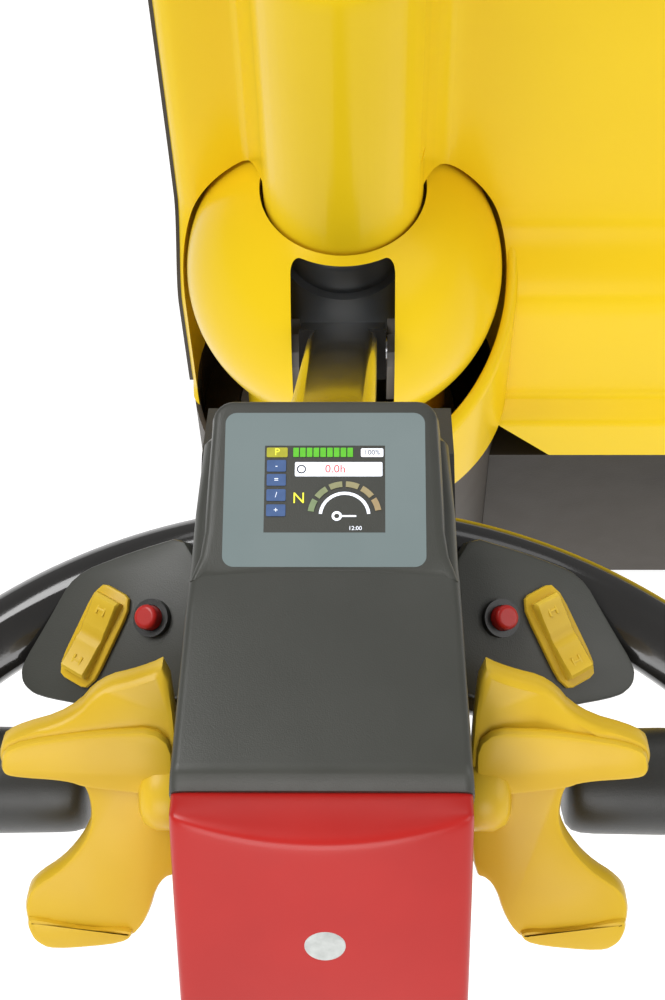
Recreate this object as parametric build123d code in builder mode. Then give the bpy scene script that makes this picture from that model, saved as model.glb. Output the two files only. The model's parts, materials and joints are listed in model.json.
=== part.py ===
from build123d import *
import os
from math import cos, radians, sin, sqrt

# Electric pallet truck, in millimetres. Z is up and the forks point along +Y, so the driver
# walks on the -Y side. While it is drawn, the steering axis stands at X = 0, Y = 0 and the
# floor is Z = 0. At the end every piece is moved so that the origin is on the floor under
# the middle of the whole truck.

os.makedirs("parts", exist_ok=True)

# ---- driving dimensions -----------------------------------------------------------------
TRUCK_WIDTH = 700.0        # across the chassis side plates
CHASSIS_BACK = 430.0       # from the steering axis to the back plate
LEFT_SIDE = -131.0         # the drive unit sits near the left side
FORK_LENGTH = 1150.0
FORK_WIDTH = 160.0
FORKS_OVERALL = 550.0      # outside to outside
FORK_TOP = 85.0            # lowered height
LIFT = 110.0               # lift stroke, used by the joints
BALL_R = 124.0             # turret cover
BALL_Z = 500.0             # height of its centre
COLUMN_R = 60.0            # half-round column of the hood, over the turret
HOOD_TOP = 885.0
ARM_LENGTH = 600.0         # tiller pin to head
ARM_LEAN = 37.0            # degrees from vertical at rest
HEAD_WIDTH = 116.0
LOOP_HALF = 200.0          # half the width of the handle loop
DRIVE_WHEEL_R = 105.0
LOAD_WHEEL_R = 39.0
CASTOR_WHEEL_R = 50.0

# ---- clearances and sheet thicknesses ---------------------------------------------------
RUN = 0.05                 # radial, shaft in bearing
GAP = 0.3                  # between faces that pass each other
PLATE = 6.0                # chassis plate
SHELL = 4.0                # moulded covers
FORK_PLATE = 5.0

# ---- places worked out from them --------------------------------------------------------
RIGHT_SIDE = LEFT_SIDE + TRUCK_WIDTH
MIDDLE = (LEFT_SIDE + RIGHT_SIDE) / 2      # centreline of the forks
SKIRT_Y = -40.0            # front face of the chassis
SKIRT_LOW = 40.0           # ground clearance
DECK_Z = 269.0             # top of the chassis deck
BAND_TOP = 332.0           # top of the chassis beside the turret
WELL_R = -LEFT_SIDE        # drum round the drive unit
CAVITY_R = BALL_R + 4.0    # hollow of the hood round the turret
PIN_Y, PIN_Z = -90.0, 527.0
LEAN = radians(ARM_LEAN)
ARM_DIR = (0.0, -sin(LEAN), cos(LEAN))
TILLER = Plane(origin=(0, PIN_Y, PIN_Z), x_dir=(1, 0, 0), z_dir=ARM_DIR)

pieces = {}


def keep(name, made):
    """Label a finished piece and hold it for export."""
    made.part.label = name
    pieces[name] = made.part


def side_plane(x):
    """Plane facing +X at x: its local axes are Y and Z."""
    return Plane(origin=(x, 0, 0), x_dir=(0, 1, 0), z_dir=(1, 0, 0))


def front_plane(y):
    """Plane facing -Y at y: its local axes are X and Z."""
    return Plane(origin=(0, y, 0), x_dir=(1, 0, 0), z_dir=(0, -1, 0))


# ---- chassis ----------------------------------------------------------------------------
RING_Z = 268.0             # underside of the turntable plate
RING_PLATE = 8.0
RING_HOLE_R = 96.0
CASTOR_SET_IN = 117.0      # castor stem from the right side plate
CASTOR_X, CASTOR_Y = RIGHT_SIDE - CASTOR_SET_IN, 70.0
POST_BASE_Z = 150.0
CYL_Y = CHASSIS_BACK + 38.0
CYL_SEAT = 130.0

with BuildPart() as chassis_frame:
    with BuildSketch(Plane.XY.offset(SKIRT_LOW)):
        Circle(WELL_R)
        Circle(WELL_R - SHELL, mode=Mode.SUBTRACT)
    extrude(amount=BAND_TOP - SKIRT_LOW)
    with BuildSketch(Plane.XY.offset(RING_Z)):
        Circle(WELL_R - 1)
        Circle(RING_HOLE_R, mode=Mode.SUBTRACT)
    extrude(amount=RING_PLATE)
    with BuildSketch(Plane.XY.offset(DECK_Z - PLATE)):
        with Locations((MIDDLE, (SKIRT_Y + CHASSIS_BACK) / 2)):
            Rectangle(TRUCK_WIDTH, CHASSIS_BACK - SKIRT_Y)
        Circle(WELL_R - 1, mode=Mode.SUBTRACT)
        with Locations((LEFT_SIDE, SKIRT_Y)):
            Rectangle(2 * WELL_R, 2 * abs(SKIRT_Y), mode=Mode.SUBTRACT)
    extrude(amount=PLATE)
    with BuildSketch(Plane.XY.offset(SKIRT_LOW)):
        with Locations(((WELL_R + RIGHT_SIDE) / 2 - 3, SKIRT_Y + PLATE / 2)):
            Rectangle(RIGHT_SIDE - WELL_R + 6, PLATE)
        with Locations((RIGHT_SIDE - PLATE / 2, (SKIRT_Y + CHASSIS_BACK) / 2)):
            Rectangle(PLATE, CHASSIS_BACK - SKIRT_Y)
        with Locations((MIDDLE, CHASSIS_BACK - PLATE / 2)):
            Rectangle(TRUCK_WIDTH, PLATE)
    extrude(amount=DECK_Z - SKIRT_LOW)
    with BuildSketch(Plane.XY.offset(SKIRT_LOW)):
        with Locations((LEFT_SIDE + PLATE / 2, CHASSIS_BACK / 2)):
            Rectangle(PLATE, CHASSIS_BACK)
    extrude(amount=BAND_TOP - SKIRT_LOW)
    with BuildSketch(Plane.XY.offset(CYL_SEAT - 30)):
        with Locations((MIDDLE, CHASSIS_BACK + 33)):
            Rectangle(70, 66)
    extrude(amount=30)
    front_corners = chassis_frame.edges().filter_by(Axis.Z).group_by(Axis.X)[-1].group_by(Axis.Y)[0]
    fillet(front_corners, 4)
keep("chassis_frame", chassis_frame)

# ---- hood -------------------------------------------------------------------------------
HOOD_SET_IN = 14.0         # hood inside the chassis side plates
HOOD_LEFT = LEFT_SIDE + HOOD_SET_IN
HOOD_RIGHT = RIGHT_SIDE - HOOD_SET_IN
HOOD_BACK = 200.0
FLANGE_TOP = 322.0
LOWER_FACE_Y = -22.0
SHOULDER_FRONT_Z = 486.0
SHOULDER_BACK_Z = 518.0
UPPER_FACE_Y = 32.0
EDGE_LOW_X, EDGE_HIGH_X = 177.0, 119.5

hood_side = [
    (SKIRT_Y, DECK_Z), (SKIRT_Y, FLANGE_TOP), (LOWER_FACE_Y, FLANGE_TOP + 19),
    (LOWER_FACE_Y, SHOULDER_FRONT_Z), (UPPER_FACE_Y - 4, SHOULDER_BACK_Z),
    (UPPER_FACE_Y, HOOD_TOP), (HOOD_BACK, HOOD_TOP), (HOOD_BACK, DECK_Z),
]
with BuildPart() as hood:
    with BuildSketch(side_plane(HOOD_LEFT)):
        Polygon(*hood_side, align=None)
    extrude(amount=HOOD_RIGHT - HOOD_LEFT)
    long_edges = hood.edges().filter_by(Axis.X)
    fillet(long_edges.filter_by_position(Axis.Z, SHOULDER_BACK_Z - 1, SHOULDER_BACK_Z + 1), 22)
    fillet(hood.edges().filter_by(Axis.X).filter_by_position(
        Axis.Z, SHOULDER_FRONT_Z - 1, SHOULDER_FRONT_Z + 1), 24)
    fillet(hood.edges().filter_by(Axis.X).group_by(Axis.Z)[-1], 20)
    with BuildSketch(Plane.XY.offset(BALL_Z)):
        Circle(COLUMN_R)
    extrude(amount=HOOD_TOP - BALL_Z)
    with BuildSketch(Plane.XY.offset(BAND_TOP)):
        Circle(CAVITY_R + 8)
        with Locations((LEFT_SIDE - 20, 0)):
            Rectangle(2 * WELL_R, 4 * WELL_R, mode=Mode.SUBTRACT)
    extrude(amount=BALL_Z + 70 - BAND_TOP)
    # the collar ends on a sloping plane through the middle of the turret
    collar_cut = Plane(origin=(0, 0, BALL_Z), x_dir=(1, 0, 0), z_dir=(0, -0.56, 0.83))
    with BuildSketch(collar_cut):
        with Locations((0, UPPER_FACE_Y / 0.83 - CAVITY_R)):
            Rectangle(2 * CAVITY_R + 16, 2 * CAVITY_R)
    extrude(amount=150, mode=Mode.SUBTRACT)
    # inside of the moulding, open towards the deck and the battery
    with BuildSketch(side_plane(HOOD_LEFT + SHELL)):
        Polygon(*[
            (SKIRT_Y + SHELL, DECK_Z - 1), (SKIRT_Y + SHELL, FLANGE_TOP - 2),
            (LOWER_FACE_Y + SHELL, FLANGE_TOP + 17), (LOWER_FACE_Y + SHELL, SHOULDER_FRONT_Z - 10),
            (UPPER_FACE_Y + 2, SHOULDER_BACK_Z - 14), (UPPER_FACE_Y + SHELL + 2, HOOD_TOP - 12),
            (HOOD_BACK + 1, HOOD_TOP - 12), (HOOD_BACK + 1, DECK_Z - 1),
        ], align=None)
    extrude(amount=HOOD_RIGHT - HOOD_LEFT - 2 * SHELL, mode=Mode.SUBTRACT)
    # wall of the turret recess, put back inside the hollow
    with BuildSketch(Plane.XY.offset(BAND_TOP)):
        Circle(CAVITY_R + SHELL)
        with Locations((0, UPPER_FACE_Y + 1 - 2 * CAVITY_R)):
            Rectangle(4 * CAVITY_R, 4 * CAVITY_R, mode=Mode.SUBTRACT)
        with Locations((HOOD_LEFT - 50, 0)):
            Rectangle(100, 4 * CAVITY_R, mode=Mode.SUBTRACT)
    extrude(amount=BALL_Z + CAVITY_R + SHELL - BAND_TOP)
    with BuildSketch(Plane.XY.offset(BALL_Z)):
        Circle(COLUMN_R)
    extrude(amount=HOOD_TOP - BALL_Z - 2)
    with Locations((0, 0, BALL_Z)):
        Sphere(CAVITY_R, mode=Mode.SUBTRACT)
    with BuildSketch(Plane.XY.offset(DECK_Z - 1)):
        Circle(CAVITY_R)
    extrude(amount=BALL_Z - DECK_Z + 1, mode=Mode.SUBTRACT)
    with BuildSketch(Plane.XY.offset(BALL_Z)):
        Circle(COLUMN_R)
        Circle(COLUMN_R - SHELL, mode=Mode.SUBTRACT)
    extrude(amount=HOOD_TOP - BALL_Z - 4)
    with BuildSketch(Plane.XY.offset(BALL_Z - 1)):
        Circle(COLUMN_R - SHELL)
    extrude(amount=HOOD_TOP - BALL_Z - 12, mode=Mode.SUBTRACT)
    # the bottom edge climbs beside the turret to clear the chassis drum
    with BuildSketch(front_plane(-2 * CAVITY_R)):
        Polygon(*[(-2 * CAVITY_R, DECK_Z - 2), (EDGE_LOW_X, DECK_Z - 2), (EDGE_LOW_X, DECK_Z),
                 (EDGE_HIGH_X, BAND_TOP + 0.5), (-2 * CAVITY_R, BAND_TOP + 0.5)], align=None)
    extrude(amount=-(2 * CAVITY_R + HOOD_BACK + 2), mode=Mode.SUBTRACT)
    # room for the top of the chassis drum
    with BuildSketch(Plane.XY.offset(DECK_Z - 1)):
        Circle(WELL_R + 0.5)
    extrude(amount=BAND_TOP + 0.5 - DECK_Z + 1, mode=Mode.SUBTRACT)
    # the ball and column meet the cavity below the column only
    with BuildSketch(Plane.XY.offset(BAND_TOP)):
        Circle(COLUMN_R + 1)
    extrude(amount=BALL_Z + sqrt(BALL_R ** 2 - COLUMN_R ** 2) - 8 - BAND_TOP, mode=Mode.SUBTRACT)
keep("hood", hood)

# ---- battery, under its lid behind the hood -----------------------------------------------
CASE_FRONT = HOOD_BACK + 1.0
CASE_BACK = CHASSIS_BACK - 8.0
CASE_TOP = 700.0
CASE_LEFT, CASE_RIGHT = HOOD_LEFT, HOOD_RIGHT
CASE_MID_X = (CASE_LEFT + CASE_RIGHT) / 2
CASE_MID_Y = (CASE_FRONT + CASE_BACK) / 2
CASE_W, CASE_D = CASE_RIGHT - CASE_LEFT, CASE_BACK - CASE_FRONT
LID_T = 30.0
HINGE_R = 5.0
HINGE_Y, HINGE_Z = CASE_BACK + 9.0, CASE_TOP - 6.0
KNUCKLE_T = 3.0            # wall round the hinge rod
BRACKET_W = 40.0
BRACKET_SET_IN = 60.0
ROD_SET_IN = BRACKET_SET_IN - 4.0
LEAF_SET_IN = BRACKET_SET_IN + BRACKET_W + 4.0
PACK_H = 380.0

with BuildPart() as battery_case:
    with BuildSketch(Plane.XY.offset(DECK_Z)):
        with Locations((CASE_MID_X, CASE_MID_Y)):
            Rectangle(CASE_W, CASE_D)
    extrude(amount=CASE_TOP - DECK_Z)
    fillet(battery_case.edges().filter_by(Axis.Z).group_by(Axis.Y)[-1], 18)
    top = battery_case.faces().sort_by(Axis.Z)[-1]
    offset(amount=-SHELL, openings=top)
    for bracket_x in (CASE_LEFT + BRACKET_SET_IN, CASE_RIGHT - BRACKET_SET_IN - BRACKET_W):
        with BuildSketch(side_plane(bracket_x)):
            with Locations((HINGE_Y, HINGE_Z)):
                Circle(HINGE_R + KNUCKLE_T)
                with Locations((-5, -6)):
                    Rectangle(9, 18)
            with Locations((HINGE_Y, HINGE_Z)):
                Circle(HINGE_R + RUN, mode=Mode.SUBTRACT)
        extrude(amount=BRACKET_W)
keep("battery_case", battery_case)

with BuildPart() as battery_lid:
    with BuildSketch(Plane.XY.offset(CASE_TOP + GAP)):
        with Locations((CASE_MID_X, CASE_MID_Y)):
            Rectangle(CASE_W, CASE_D)
    extrude(amount=LID_T)
    fillet(battery_lid.edges().group_by(Axis.Z)[-1], 12)
    with BuildSketch(side_plane(CASE_LEFT + LEAF_SET_IN)):
        with Locations((HINGE_Y, HINGE_Z)):
            Circle(HINGE_R + KNUCKLE_T)
            with Locations((0, 10)):
                Rectangle(12, 14)
        with Locations((CASE_BACK - 4, CASE_TOP + 8)):
            Rectangle(36, 14)
    extrude(amount=CASE_W - 2 * LEAF_SET_IN)
    with BuildSketch(side_plane(CASE_LEFT + ROD_SET_IN)):
        with Locations((HINGE_Y, HINGE_Z)):
            Circle(HINGE_R)
    extrude(amount=CASE_W - 2 * ROD_SET_IN)
    grip_pocket = Plane.XY.offset(CASE_TOP + GAP + LID_T)
    with BuildSketch(grip_pocket):
        with Locations((CASE_MID_X, CASE_FRONT + 34)):
            SlotOverall(130, 28)
    extrude(amount=-14, mode=Mode.SUBTRACT)
keep("battery_lid", battery_lid)

with BuildPart() as battery_pack:
    with BuildSketch(Plane.XY.offset(DECK_Z + SHELL)):
        with Locations((CASE_MID_X, CASE_MID_Y)):
            Rectangle(CASE_W - 60, CASE_D - 24)
    extrude(amount=PACK_H)
    chamfer(battery_pack.edges().group_by(Axis.Z)[-1], 6)
keep("battery_pack", battery_pack)

with BuildPart() as battery_connector:
    with BuildSketch(Plane.XY.offset(DECK_Z + SHELL + PACK_H)):
        with Locations((CASE_MID_X + 180, CASE_MID_Y)):
            Rectangle(64, 34)
    extrude(amount=26)
    with BuildSketch(battery_connector.faces().sort_by(Axis.Z)[-1]):
        with GridLocations(26, 0, 2, 1):
            Circle(8)
    extrude(amount=12)
keep("battery_connector", battery_connector)

# ---- electrics and hydraulics under the hood ---------------------------------------------
CONTROLLER_X, CONTROLLER_Y, CONTROLLER_H = HOOD_RIGHT - 85.0, 110.0, 60.0
with BuildPart() as controller:
    with BuildSketch(Plane.XY.offset(DECK_Z)):
        with Locations((CONTROLLER_X, CONTROLLER_Y)):
            Rectangle(120, 150)
    extrude(amount=CONTROLLER_H)
    with BuildSketch(Plane.XY.offset(DECK_Z + CONTROLLER_H)):
        with Locations((CONTROLLER_X, CONTROLLER_Y)):
            with GridLocations(0, 14, 1, 9):
                Rectangle(112, 5)
    extrude(amount=18)
keep("controller", controller)

PUMP_X, PUMP_Y, PUMP_H = MIDDLE + 71.0, 100.0, 90.0
with BuildPart() as pump_unit:
    with BuildSketch(Plane.XY.offset(DECK_Z)):
        with Locations((PUMP_X, PUMP_Y)):
            RectangleRounded(150, 110, 12)
    extrude(amount=PUMP_H)
    with BuildSketch(Plane.XY.offset(DECK_Z + PUMP_H)):
        with Locations((PUMP_X - 30, PUMP_Y)):
            Circle(40)
    extrude(amount=110)
    with BuildSketch(Plane.XY.offset(DECK_Z + PUMP_H)):
        with Locations((PUMP_X + 48, PUMP_Y)):
            Circle(14)
    extrude(amount=22)
keep("pump_unit", pump_unit)

CYL_R, ROD_R, CYL_H = 28.0, 16.0, 300.0
ROD_REACH_DOWN = 20.0      # rod inside the cylinder at rest, above its seat
CROSSBAR_Z = 540.0         # top of the lift rod, under the carriage's crossbar
with BuildPart() as lift_cylinder:
    with BuildSketch(Plane.XY.offset(CYL_SEAT)):
        with Locations((MIDDLE, CYL_Y)):
            Circle(CYL_R - 4)
    extrude(amount=CYL_H)
    with BuildSketch(Plane.XY.offset(CYL_SEAT + CYL_H)):
        with Locations((MIDDLE, CYL_Y)):
            Circle(CYL_R - 2)
    extrude(amount=24)
    with BuildSketch(Plane.XY.offset(CYL_SEAT + 12)):
        with Locations((MIDDLE, CYL_Y)):
            Circle(ROD_R + RUN)
    extrude(amount=CYL_H + 30, mode=Mode.SUBTRACT)
keep("lift_cylinder", lift_cylinder)

with BuildPart() as lift_rod:
    with BuildSketch(Plane.XY.offset(CYL_SEAT + ROD_REACH_DOWN)):
        with Locations((MIDDLE, CYL_Y)):
            Circle(ROD_R)
    extrude(amount=CROSSBAR_Z - CYL_SEAT - ROD_REACH_DOWN)
keep("lift_rod", lift_rod)

# ---- emergency stop and key switch on the hood's shoulder ---------------------------------
STOP_X, KEY_X, SWITCH_Y = HOOD_RIGHT - 85.0, HOOD_RIGHT - 165.0, 110.0
STOP_STEM_R, KEY_R = 9.0, 4.0
with BuildPart() as estop_base:
    with BuildSketch(Plane.XY.offset(HOOD_TOP)):
        with Locations((STOP_X, SWITCH_Y)):
            Circle(24)
            Circle(STOP_STEM_R + GAP, mode=Mode.SUBTRACT)
    extrude(amount=6)
keep("estop_base", estop_base)

with BuildPart() as estop_knob:
    with BuildSketch(Plane.XY.offset(HOOD_TOP + 4.5)):
        with Locations((STOP_X, SWITCH_Y)):
            Circle(STOP_STEM_R)
    extrude(amount=10)
    with BuildSketch(Plane.XY.offset(HOOD_TOP + 12)):
        with Locations((STOP_X, SWITCH_Y)):
            Circle(20)
    extrude(amount=14)
    fillet(estop_knob.edges().group_by(Axis.Z)[-1], 6)
keep("estop_knob", estop_knob)

with BuildPart() as key_switch:
    with BuildSketch(Plane.XY.offset(HOOD_TOP)):
        with Locations((KEY_X, SWITCH_Y)):
            Circle(15)
    extrude(amount=5)
    with BuildSketch(Plane.XY.offset(HOOD_TOP + 5)):
        with Locations((KEY_X, SWITCH_Y)):
            Circle(KEY_R + RUN)
    extrude(amount=-4, mode=Mode.SUBTRACT)
keep("key_switch", key_switch)

with BuildPart() as ignition_key:
    with BuildSketch(Plane.XY.offset(HOOD_TOP + 1.5)):
        with Locations((KEY_X, SWITCH_Y)):
            Circle(KEY_R)
    extrude(amount=8)
    with BuildSketch(front_plane(SWITCH_Y + 1.5)):
        with Locations((KEY_X, HOOD_TOP + 19)):
            RectangleRounded(18, 22, 6)
            with Locations((0, 5)):
                Circle(3, mode=Mode.SUBTRACT)
    extrude(amount=3)
keep("ignition_key", ignition_key)

# ---- turntable, drive unit and turret ----------------------------------------------------
INNER_RING_R = 95.0
SPIGOT_R = 78.0            # drive unit's spigot inside the inner ring
RING_T = 18.0
SPIGOT_T = RING_T + 2.0
FLANGE_R = 88.0
FLANGE_T = 14.0
FLANGE_Z = RING_Z - SPIGOT_T - FLANGE_T
BASE_T = 14.0
BASE_Z = RING_Z + BASE_T
MOTOR_R = 50.0
MOTOR_TOP = 530.0
EAR_IN, EAR_OUT = 33.0, 43.0
PIN_R = 10.0
KNUCKLE_W = 63.0

with BuildPart() as slewing_ring_outer:
    with BuildSketch(Plane.XY.offset(RING_Z - RING_T)):
        Circle(112)
        Circle(INNER_RING_R + RUN, mode=Mode.SUBTRACT)
    extrude(amount=RING_T)
    with Locations(Plane.XY.offset(RING_Z - RING_T)):
        with PolarLocations(104, 8):
            Hole(3.3, depth=12)
keep("slewing_ring_outer", slewing_ring_outer)

with BuildPart() as slewing_ring_inner:
    with BuildSketch(Plane.XY.offset(RING_Z - SPIGOT_T)):
        Circle(INNER_RING_R)
        Circle(SPIGOT_R, mode=Mode.SUBTRACT)
    extrude(amount=SPIGOT_T)
keep("slewing_ring_inner", slewing_ring_inner)

LEG_IN, LEG_OUT = 40.0, 66.0
AXLE_R = 12.0
with BuildPart() as drive_housing:
    with BuildSketch(Plane.XY.offset(FLANGE_Z)):
        Circle(FLANGE_R)
    extrude(amount=FLANGE_T)
    with BuildSketch(side_plane(LEG_IN)):
        with Locations((0, DRIVE_WHEEL_R)):
            Circle(58)
        with Locations((0, (DRIVE_WHEEL_R + FLANGE_Z) / 2)):
            Rectangle(92, FLANGE_Z - DRIVE_WHEEL_R)
    extrude(amount=LEG_OUT - LEG_IN)
    with BuildSketch(side_plane(-34)):
        with Locations((0, DRIVE_WHEEL_R)):
            Circle(AXLE_R)
    extrude(amount=LEG_IN + 34)
    with BuildSketch(Plane.XY.offset(RING_Z - SPIGOT_T)):
        Circle(SPIGOT_R - GAP)
    extrude(amount=SPIGOT_T)
keep("drive_housing", drive_housing)

TYRE_W = 65.0
TYRE_T = 22.0
with BuildPart() as drive_tyre:
    with BuildSketch(side_plane(-TYRE_W / 2)):
        with Locations((0, DRIVE_WHEEL_R)):
            Circle(DRIVE_WHEEL_R)
            Circle(DRIVE_WHEEL_R - TYRE_T, mode=Mode.SUBTRACT)
    extrude(amount=TYRE_W)
    fillet(drive_tyre.edges().filter_by(GeomType.CIRCLE).sort_by(SortBy.RADIUS)[-2:], 6)
keep("drive_tyre", drive_tyre)

with BuildPart() as drive_hub:
    with BuildSketch(side_plane(-TYRE_W / 2 + 4)):
        with Locations((0, DRIVE_WHEEL_R)):
            Circle(DRIVE_WHEEL_R - TYRE_T)
            Circle(AXLE_R + RUN, mode=Mode.SUBTRACT)
    extrude(amount=TYRE_W - 8)
    with BuildSketch(side_plane(-TYRE_W / 2 + 4)):
        with Locations((0, DRIVE_WHEEL_R)):
            with PolarLocations(50, 5):
                Circle(11)
    extrude(amount=14, mode=Mode.SUBTRACT)
keep("drive_hub", drive_hub)

with BuildPart() as drive_motor:
    with BuildSketch(Plane.XY.offset(BASE_Z)):
        Circle(MOTOR_R)
    extrude(amount=MOTOR_TOP - BASE_Z)
    with BuildSketch(Plane.XY.offset(BASE_Z + 40)):
        Circle(MOTOR_R)
        Circle(MOTOR_R - 2, mode=Mode.SUBTRACT)
    extrude(amount=8, mode=Mode.SUBTRACT)
keep("drive_motor", drive_motor)

with BuildPart() as parking_brake:
    with BuildSketch(Plane.XY.offset(MOTOR_TOP)):
        Circle(44)
    extrude(amount=34)
    fillet(parking_brake.edges().group_by(Axis.Z)[-1], 5)
keep("parking_brake", parking_brake)

EAR_SIDE = [(-64, BASE_Z - 1), (-64, 424), (-92, 452), (PIN_Y - 16, PIN_Z - 4), (PIN_Y - 13, PIN_Z + 12),
            (PIN_Y, PIN_Z + 17), (PIN_Y + 17, PIN_Z + 12), (-56, 470), (-54, BASE_Z - 1)]
with BuildPart() as turret_bracket:
    with BuildSketch(Plane.XY.offset(RING_Z)):
        Circle(INNER_RING_R - 1)
    extrude(amount=BASE_T)
    for ear_x in (-EAR_OUT, EAR_IN):
        with BuildSketch(side_plane(ear_x)):
            Polygon(*EAR_SIDE, align=None)
            with Locations((PIN_Y, PIN_Z)):
                Circle(PIN_R, mode=Mode.SUBTRACT)
        extrude(amount=EAR_OUT - EAR_IN)
keep("turret_bracket", turret_bracket)

with BuildPart() as hinge_pin:
    with BuildSketch(side_plane(-EAR_OUT - 3)):
        with Locations((PIN_Y, PIN_Z)):
            Circle(PIN_R)
    extrude(amount=2 * EAR_OUT + 6)
    chamfer(hinge_pin.edges(), 1.5)
keep("hinge_pin", hinge_pin)

SLOT_W = 77.0
COVER_LOW = 410.0
COVER_HOLE_R = COLUMN_R + 2.5
NECK_R = 85.0
with BuildPart() as turret_cover:
    with Locations((0, 0, BALL_Z)):
        Sphere(BALL_R)
        Sphere(BALL_R - SHELL, mode=Mode.SUBTRACT)
    with BuildSketch(Plane.XY.offset(BALL_Z - BALL_R)):
        Circle(BALL_R)
    extrude(amount=COVER_LOW - BALL_Z + BALL_R, mode=Mode.SUBTRACT)
    with BuildSketch(Plane.XY.offset(RING_Z + BASE_T)):
        Circle(NECK_R)
        Circle(NECK_R - SHELL, mode=Mode.SUBTRACT)
    extrude(amount=COVER_LOW + 1 - BASE_Z)
    with BuildSketch(Plane.XY.offset(BALL_Z)):
        Circle(COVER_HOLE_R)
    extrude(amount=BALL_R + 1, mode=Mode.SUBTRACT)
    with BuildSketch(Plane.XZ.offset(20)):
        with Locations((0, 523)):
            RectangleRounded(SLOT_W, 160, 8)
    extrude(amount=BALL_R, mode=Mode.SUBTRACT)
keep("turret_cover", turret_cover)

# ---- castor at the right front -----------------------------------------------------------
TRAIL = 28.0
STEM_CASTOR_R, CASTOR_AXLE_R = 9.0, 6.0
CASTOR_PLATE = 8.0
CROWN_T = 12.0
with BuildPart() as castor_mount:
    with BuildSketch(Plane.XY.offset(POST_BASE_Z)):
        with Locations((CASTOR_X, CASTOR_Y)):
            RectangleRounded(96, 96, 8)
    extrude(amount=CASTOR_PLATE)
    with BuildSketch(Plane.XY.offset(POST_BASE_Z + CASTOR_PLATE)):
        with Locations((CASTOR_X, CASTOR_Y)):
            Circle(32)
    extrude(amount=DECK_Z - PLATE - POST_BASE_Z - CASTOR_PLATE)
    with BuildSketch(Plane.XY.offset(POST_BASE_Z)):
        with Locations((CASTOR_X, CASTOR_Y)):
            Circle(STEM_CASTOR_R + RUN)
    extrude(amount=20, mode=Mode.SUBTRACT)
keep("castor_mount", castor_mount)

with BuildPart() as castor_fork:
    with BuildSketch(Plane.XY.offset(POST_BASE_Z - 1 - CROWN_T)):
        with Locations((CASTOR_X, CASTOR_Y)):
            Circle(36)
    extrude(amount=CROWN_T)
    with BuildSketch(Plane.XY.offset(POST_BASE_Z - 1)):
        with Locations((CASTOR_X, CASTOR_Y)):
            Circle(STEM_CASTOR_R)
    extrude(amount=18)
    for plate_x in (CASTOR_X - 28, CASTOR_X + 22):
        with BuildSketch(side_plane(plate_x)):
            Polygon((CASTOR_Y - 22, POST_BASE_Z - 12), (CASTOR_Y + 22, POST_BASE_Z - 12),
                    (CASTOR_Y + TRAIL + 12, CASTOR_WHEEL_R), (CASTOR_Y + TRAIL - 12, CASTOR_WHEEL_R),
                    align=None)
            with Locations((CASTOR_Y + TRAIL, CASTOR_WHEEL_R)):
                Circle(13)
        extrude(amount=6)
    with BuildSketch(side_plane(CASTOR_X - 32)):
        with Locations((CASTOR_Y + TRAIL, CASTOR_WHEEL_R)):
            Circle(CASTOR_AXLE_R)
    extrude(amount=64)
keep("castor_fork", castor_fork)

with BuildPart() as castor_wheel:
    with BuildSketch(side_plane(CASTOR_X - 20)):
        with Locations((CASTOR_Y + TRAIL, CASTOR_WHEEL_R)):
            Circle(CASTOR_WHEEL_R)
            Circle(CASTOR_AXLE_R + RUN, mode=Mode.SUBTRACT)
    extrude(amount=40)
    fillet(castor_wheel.edges().filter_by(GeomType.CIRCLE).sort_by(SortBy.RADIUS)[-2:], 5)
keep("castor_wheel", castor_wheel)

# ---- forks, carriage and load wheels -----------------------------------------------------
FORK_START = CHASSIS_BACK + 14.0
SHANK_T, SHANK_H = 12.0, 240.0
FORK_TIP = FORK_START + SHANK_T + FORK_LENGTH
FORK_NOSE = 60.0           # length of the rounded tip
MAST_IN, MAST_W, MAST_D = 100.0, 80.0, 48.0
CROSSBAR_T = 40.0
SEAT = 1.0                 # step in the fork's top that the carriage stands in
WALL_LOW = 27.0
ARM_R = 160.0
ARM_PIVOT_Z = 38.0
LOAD_Y = FORK_TIP - 150.0
ARM_PIVOT_Y = LOAD_Y - ARM_R
LOAD_AXLE_R = 8.0
LUG_R = 26.0
ROD_Z = ARM_PIVOT_Z + LUG_R
PUSH_ROD_R = 9.0
GUIDE_T = 16.0
CHEEK_IN, CHEEK_T = 38.0, 8.0
BOSS_R = 12.0
FORK_SPREAD = FORKS_OVERALL / 2 - FORK_WIDTH / 2

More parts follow.
